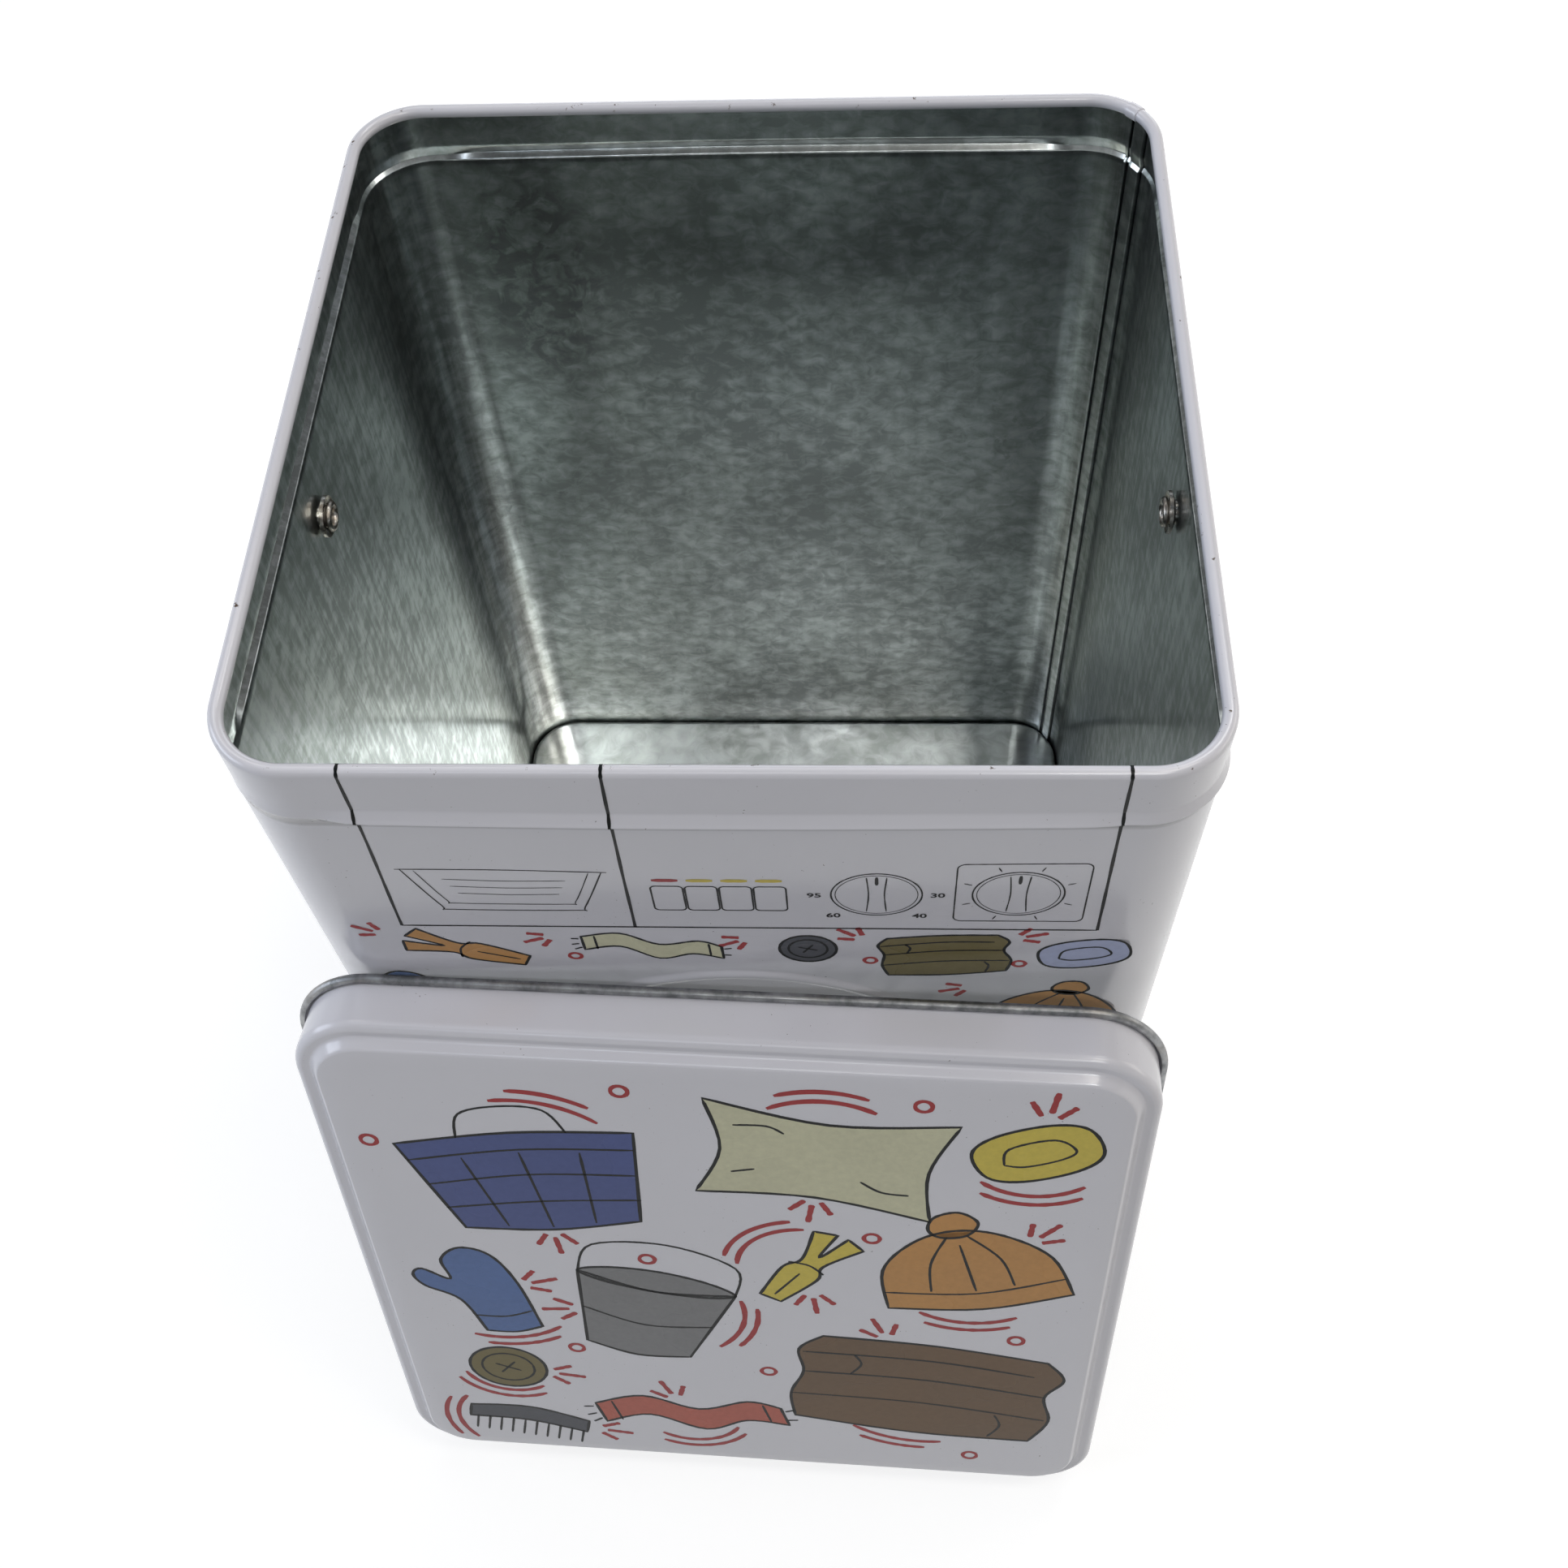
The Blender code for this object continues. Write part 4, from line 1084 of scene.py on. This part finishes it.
def grip_profile():
    """(radius, along) from one end of the barrel to the other, then back through the bore."""
    run = GRIP_HALF - GRIP_EDGE
    places = [run * (1 - 2 * i / 48) for i in range(1, 48)]
    places += [sign * (SCRIBE + step) for sign in (1, -1) for step in (SCRIBE_HALF, 0.0, -SCRIBE_HALF)]
    barrel = []
    for z in sorted(places, reverse=True):
        off_line = min(abs(abs(z) - SCRIBE), SCRIBE_HALF) / SCRIBE_HALF
        barrel.append((GRIP_R - (GRIP_R - GRIP_END_R) * (z / run) ** 2 - SCRIBE_DEEP * (1 - off_line), z))
    start = arc(GRIP_END_R - GRIP_EDGE, run, GRIP_EDGE, 90, 0, 6)
    end = arc(GRIP_END_R - GRIP_EDGE, -run, GRIP_EDGE, 0, -90, 6)[1:]
    return start + barrel + end + [(BORE_R, -GRIP_HALF), (BORE_R, GRIP_HALF)]


grip_mesh = turned_along_x("roller_grip", grip_profile(), 64)
grip_mesh.transform(BAIL_PLACE @ Matrix.Translation((0, REACH, 0)))
grip_mesh.materials.append(beech())
grip = add_object("roller_grip", grip_mesh)
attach(grip, "grip")
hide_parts("bail_grip")


# Lid
# A drawn tinplate lid, lacquered outside, that slips over the neck. Its raised face is stepped up inside
# a shallow groove, and the skirt ends in an outward curl of bare metal. It leans on the front wall.

LID_HALF = HALF + 0.0006
LID_CORNER = CORNER + 0.0006
CURL_R = 0.0011
LID_DEPTH = 0.0131
LEAN = math.radians(14.95)
TURN = math.radians(-2.3)
LID_X = -0.0042
FLANGE_UP = LID_DEPTH - CURL_R
PANEL_UP = FLANGE_UP + 0.0021


def lid_section():
    groove = (-0.0032, FLANGE_UP - 0.0003)
    panel = (-0.0058, PANEL_UP)
    step = [(panel[0] - 0.004, PANEL_UP), panel]
    for i in range(1, 13):
        t = i / 12
        step.append((panel[0] + (groove[0] - panel[0]) * t, panel[1] + (groove[1] - panel[1]) * ease(t)))
    edge = arc(-0.0020, FLANGE_UP - 0.0020, 0.0020, 90, 0, 12)
    skirt = [(0.0, FLANGE_UP - 0.0032), (0.0, 0.0012)]
    curl = arc(CURL_R - SHEET, 0.0, CURL_R - SHEET, 180, 180 + 290, 22)
    return step + edge + skirt + curl


def lid_stance():
    turn = Matrix.Rotation(TURN, 3, "Z")
    across = turn @ Vector((1, 0, 0))
    along = turn @ Vector((0, math.sin(LEAN), math.cos(LEAN)))
    outward = across.cross(along)
    half = LID_HALF + CURL_R - SHEET
    radius = LID_CORNER + CURL_R - SHEET
    tube = CURL_R / math.cos(math.radians(290.0 / 9 / 2))

    def reach(axis):
        a = abs(across[axis])
        b = abs(along[axis])
        return (half - radius) * (a + b) + radius * math.hypot(a, b) + tube

    rotation = Matrix((across, along, outward)).transposed().to_4x4()
    return Matrix.Translation((LID_X, TIN_Y - HALF - 0.0003 - reach(1), reach(2))) @ rotation


LID_PLACE = lid_stance()
lid_mesh = carried_sheet("lid_sheet", lid_section(), LID_HALF, LID_HALF, LID_CORNER, lacquer)
fill_flat(lid_mesh, PANEL_UP, 1)


def dull_curl_plate():
    """Cut and rolled edge of the plate: grey, rubbed and a little brown."""
    mat, tree, shader = new_material("dull_curl", Metallic=1.0)
    rubbed = noise(tree, mapped(tree), 260.0, 4.0, 0.6)
    brown = noise(tree, mapped(tree), 70.0, 3.0, 0.6)
    color = mix_colors(tree, remap(tree, rubbed, 0.35, 0.68, 0.0, 1.0), (0.17, 0.175, 0.18), (0.40, 0.405, 0.41))
    color = mix_colors(tree, remap(tree, brown, 0.58, 0.72, 0.0, 0.5), color, (0.22, 0.19, 0.16))
    feed(shader, Base_Color=color, Roughness=remap(tree, rubbed, 0.3, 0.7, 0.55, 0.36),
         Normal=bump(tree, rubbed, 0.25, 0.0002))
    return mat


for finish in (tinplate, lacquer, dull_curl_plate()):
    lid_mesh.materials.append(finish)
for face in lid_mesh.polygons:
    if max(lid_mesh.vertices[i].co.z for i in face.vertices) < 0.0009:
        face.material_index = 2
lid_mesh.transform(LID_PLACE)
lid = thickened("lid_sheet", lid_mesh, tinplate)
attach(lid, "lid")
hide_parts("lid")


# Lid print
# The same inks on the lid's raised face, in larger drawings of household things with a thicker pen.

LID_PEN = 0.8
LID_TICK = 1.35
lid_coat = InkCoat()
for motif, x, y, turn, size, ink in (
        ("basket", -44, 45, 9, 1.04, "navy"), ("pillow", 21, 55, -7, 1.0, "cream"),
        ("soap", 66, 62, 24, 1.0, "amber"), ("mitten", -60, -6, 14, 1.05, "blue"),
        ("bucket", -21, -10, -12, 1.0, "grey"), ("beanie", 55, 12, 14, 1.15, "orange"),
        ("peg", 17, 12, -32, 0.95, "amber"), ("blanket", 46, -42, -6, 1.06, "brown"),
        ("scarf", -14, -63, 8, 0.9, "brick"), ("button", -60, -43, 15, 0.9, "olive"),
        ("comb", -58, -71, -10, 1.05, "charcoal")):
    lid_coat.drawing(motif, (x, y), turn, size, ink, LID_PEN)
for x, y, radius, start, end in (
        (-44, 45, 26, 48, 102), (21, 55, 21, 57, 123), (66, 62, 16, 226, 314), (-60, -6, 22, 253, 317),
        (-21, -10, 23, 315, 375), (55, 12, 20, 235, 305), (17, 12, 16, 91, 179), (46, -42, 27, 229, 281),
        (-14, -63, 13, 231, 339), (-60, -43, 12, 197, 313), (-58, -71, 19, 143, 217)):
    lid_coat.arcs(x, y, radius, start, end, LID_TICK)
for x, y, turn in (
        (-41.3, 23.2, 277), (19.2, 42.1, 262), (67.4, 71.9, 82), (-52.6, -3, 22), (-36.9, -11.9, 187), (66.7, 27, 52),
        (18.1, 3.1, 277), (36.6, -18.8, 112), (-17, -55.6, 112), (-51.1, -44.3, 352), (-41.2, -73.4, 352)):
    lid_coat.ticks(x, y, turn, LID_TICK)
for x, y in ((42, 76), (-20, 12), (67, -15), (-41, -31), (59, -75), (-78, 54), (-21, 76), (32, 26), (7, -37)):
    lid_coat.spot(x, y, 1.8, 1.0)
points = [LID_PLACE @ Vector((x / 1000, y / 1000, PANEL_UP + rise)) for x, y, rise in lid_coat.points]
face_way = LID_PLACE.to_3x3() @ Vector((0, 0, 1))
lid_print = printed("lid_print", points, lid_coat.faces, lid_coat.inks, face_way)
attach(lid_print, "lid")


# Studio
# A pale floor that curves up into a low backdrop, and soft boxes: three hung in front of the can, three
# beside it and three behind, all facing down, with low ones at the left, the right and the back.

bm = bmesh.new()
run = [(0.0, 0.0), (3.0, 0.0)] + arc(3.0, 0.8, 0.8, 270, 360, 10) + [(3.8, 1.5)]
ring = [bm.verts.new((radius, 0.0, up - 0.0005)) for radius, up in run]
bmesh.ops.spin(bm, geom=ring + [bm.edges.new(pair) for pair in zip(ring, ring[1:])], cent=(0, 0, 0), axis=(0, 0, 1),
               angle=2 * math.pi, steps=72, use_merge=True)
bmesh.ops.remove_doubles(bm, verts=bm.verts, dist=0.0001)
bmesh.ops.recalc_face_normals(bm, faces=bm.faces)
look_outward(bm, (1.5, 0, 0), (0, 0, 1))
floor_mesh = filled(bm, "studio_floor")
floor_mesh.shade_smooth()
ground = add_object("studio_floor", floor_mesh)
mat, tree, shader = new_material("studio_floor", Base_Color=(0.42, 0.42, 0.42, 1.0), Roughness=0.9)
rays = add(tree, "ShaderNodeLightPath").outputs
seen = calc(tree, "MAXIMUM", rays["Is Camera Ray"],
            calc(tree, "MAXIMUM", rays["Is Glossy Ray"], rays["Is Transmission Ray"]))
feed(shader, Emission_Color=(1.0, 1.0, 1.0, 1.0), Emission_Strength=calc(tree, "MULTIPLY", seen, 0.72))
ground.data.materials.append(mat)

world = bpy.data.worlds.new("studio")
world.use_nodes = True
bpy.context.scene.world = world
feed(world.node_tree.nodes["Background"], Color=(0.96, 0.99, 1.0, 1.0), Strength=0.02)

COOL = (0.90, 0.98, 1.12)
WARM = (1.05, 1.0, 0.92)


def soft_box(name, place, facing, width, depth, radiance, tint):
    """A soft box at this place from the can's middle, with this brightness of its face."""
    lamp = bpy.data.objects.new(name, bpy.data.lights.new(name, "AREA"))
    lamp.data.shape = "RECTANGLE"
    lamp.data.size = width
    lamp.data.size_y = depth
    lamp.data.color = tint
    lamp.data.energy = radiance * math.pi * width * depth
    lamp.location = Vector(place) + Vector((0, TIN_Y, 0.15))
    lamp.rotation_euler = (-Vector(facing)).to_track_quat("Z", "Y").to_euler()
    bpy.context.scene.collection.objects.link(lamp)


HUNG = 1.5
PLAIN = (1.0, 1.0, 1.0)
for name, x, y, width, depth, radiance, tint in (
        ("front_left_box", -0.45, -1.24, 0.45, 0.15, 7.8, COOL),
        ("front_middle_box", -0.09, -1.10, 0.26, 0.15, 7.5, PLAIN),
        ("front_right_box", 0.45, -1.09, 0.45, 0.15, 24.0, PLAIN),
        ("near_right_box", 0.45, -0.715, 0.45, 0.30, 6.5, WARM),
        ("right_box", 0.60, -0.115, 0.60, 0.30, 7.4, WARM),
        ("left_box", -0.60, -0.115, 0.60, 0.30, 1.9, COOL),
        ("back_left_box", -0.6, 0.75, 0.60, 0.50, 2.7, PLAIN),
        ("back_middle_box", 0.0, 0.75, 0.60, 0.50, 2.0, PLAIN),
        ("back_right_box", 0.6, 0.75, 0.60, 0.50, 5.2, PLAIN)):
    soft_box(name, (x, y, HUNG), (0, 0, -1), width, depth, radiance, tint)
for name, toward, radiance, tint in (
        ("low_left_box", (-0.92, -0.1, 0.38), 3.4, COOL), ("low_right_box", (0.93, 0.15, 0.33), 1.5, WARM),
        ("low_back_box", (0.1, 0.95, 0.30), 1.4, COOL)):
    toward = Vector(toward).normalized()
    soft_box(name, toward * 1.8, -toward, 1.3, 0.8, radiance, tint)


# Camera
# Held above the front, looking steeply down into the can: place and turn as fitted to the photograph.

camera = bpy.data.objects.new("camera", bpy.data.cameras.new("camera"))
camera.data.sensor_width = 36.0
camera.data.lens = 39.466
right = Vector((0.9987, 0.0294, -0.0414)).normalized()
forward = Vector((-0.0507, 0.5288, -0.8472)).normalized()
down = forward.cross(right).normalized()
right = down.cross(forward).normalized()
axes = Matrix((right, -down, -forward)).transposed().to_4x4()
camera.matrix_world = Matrix.Translation((0.02706, TIN_Y - 0.24434, 0.50006)) @ axes
bpy.context.scene.collection.objects.link(camera)
bpy.context.scene.camera = camera
bpy.context.scene.view_settings.view_transform = "Standard"
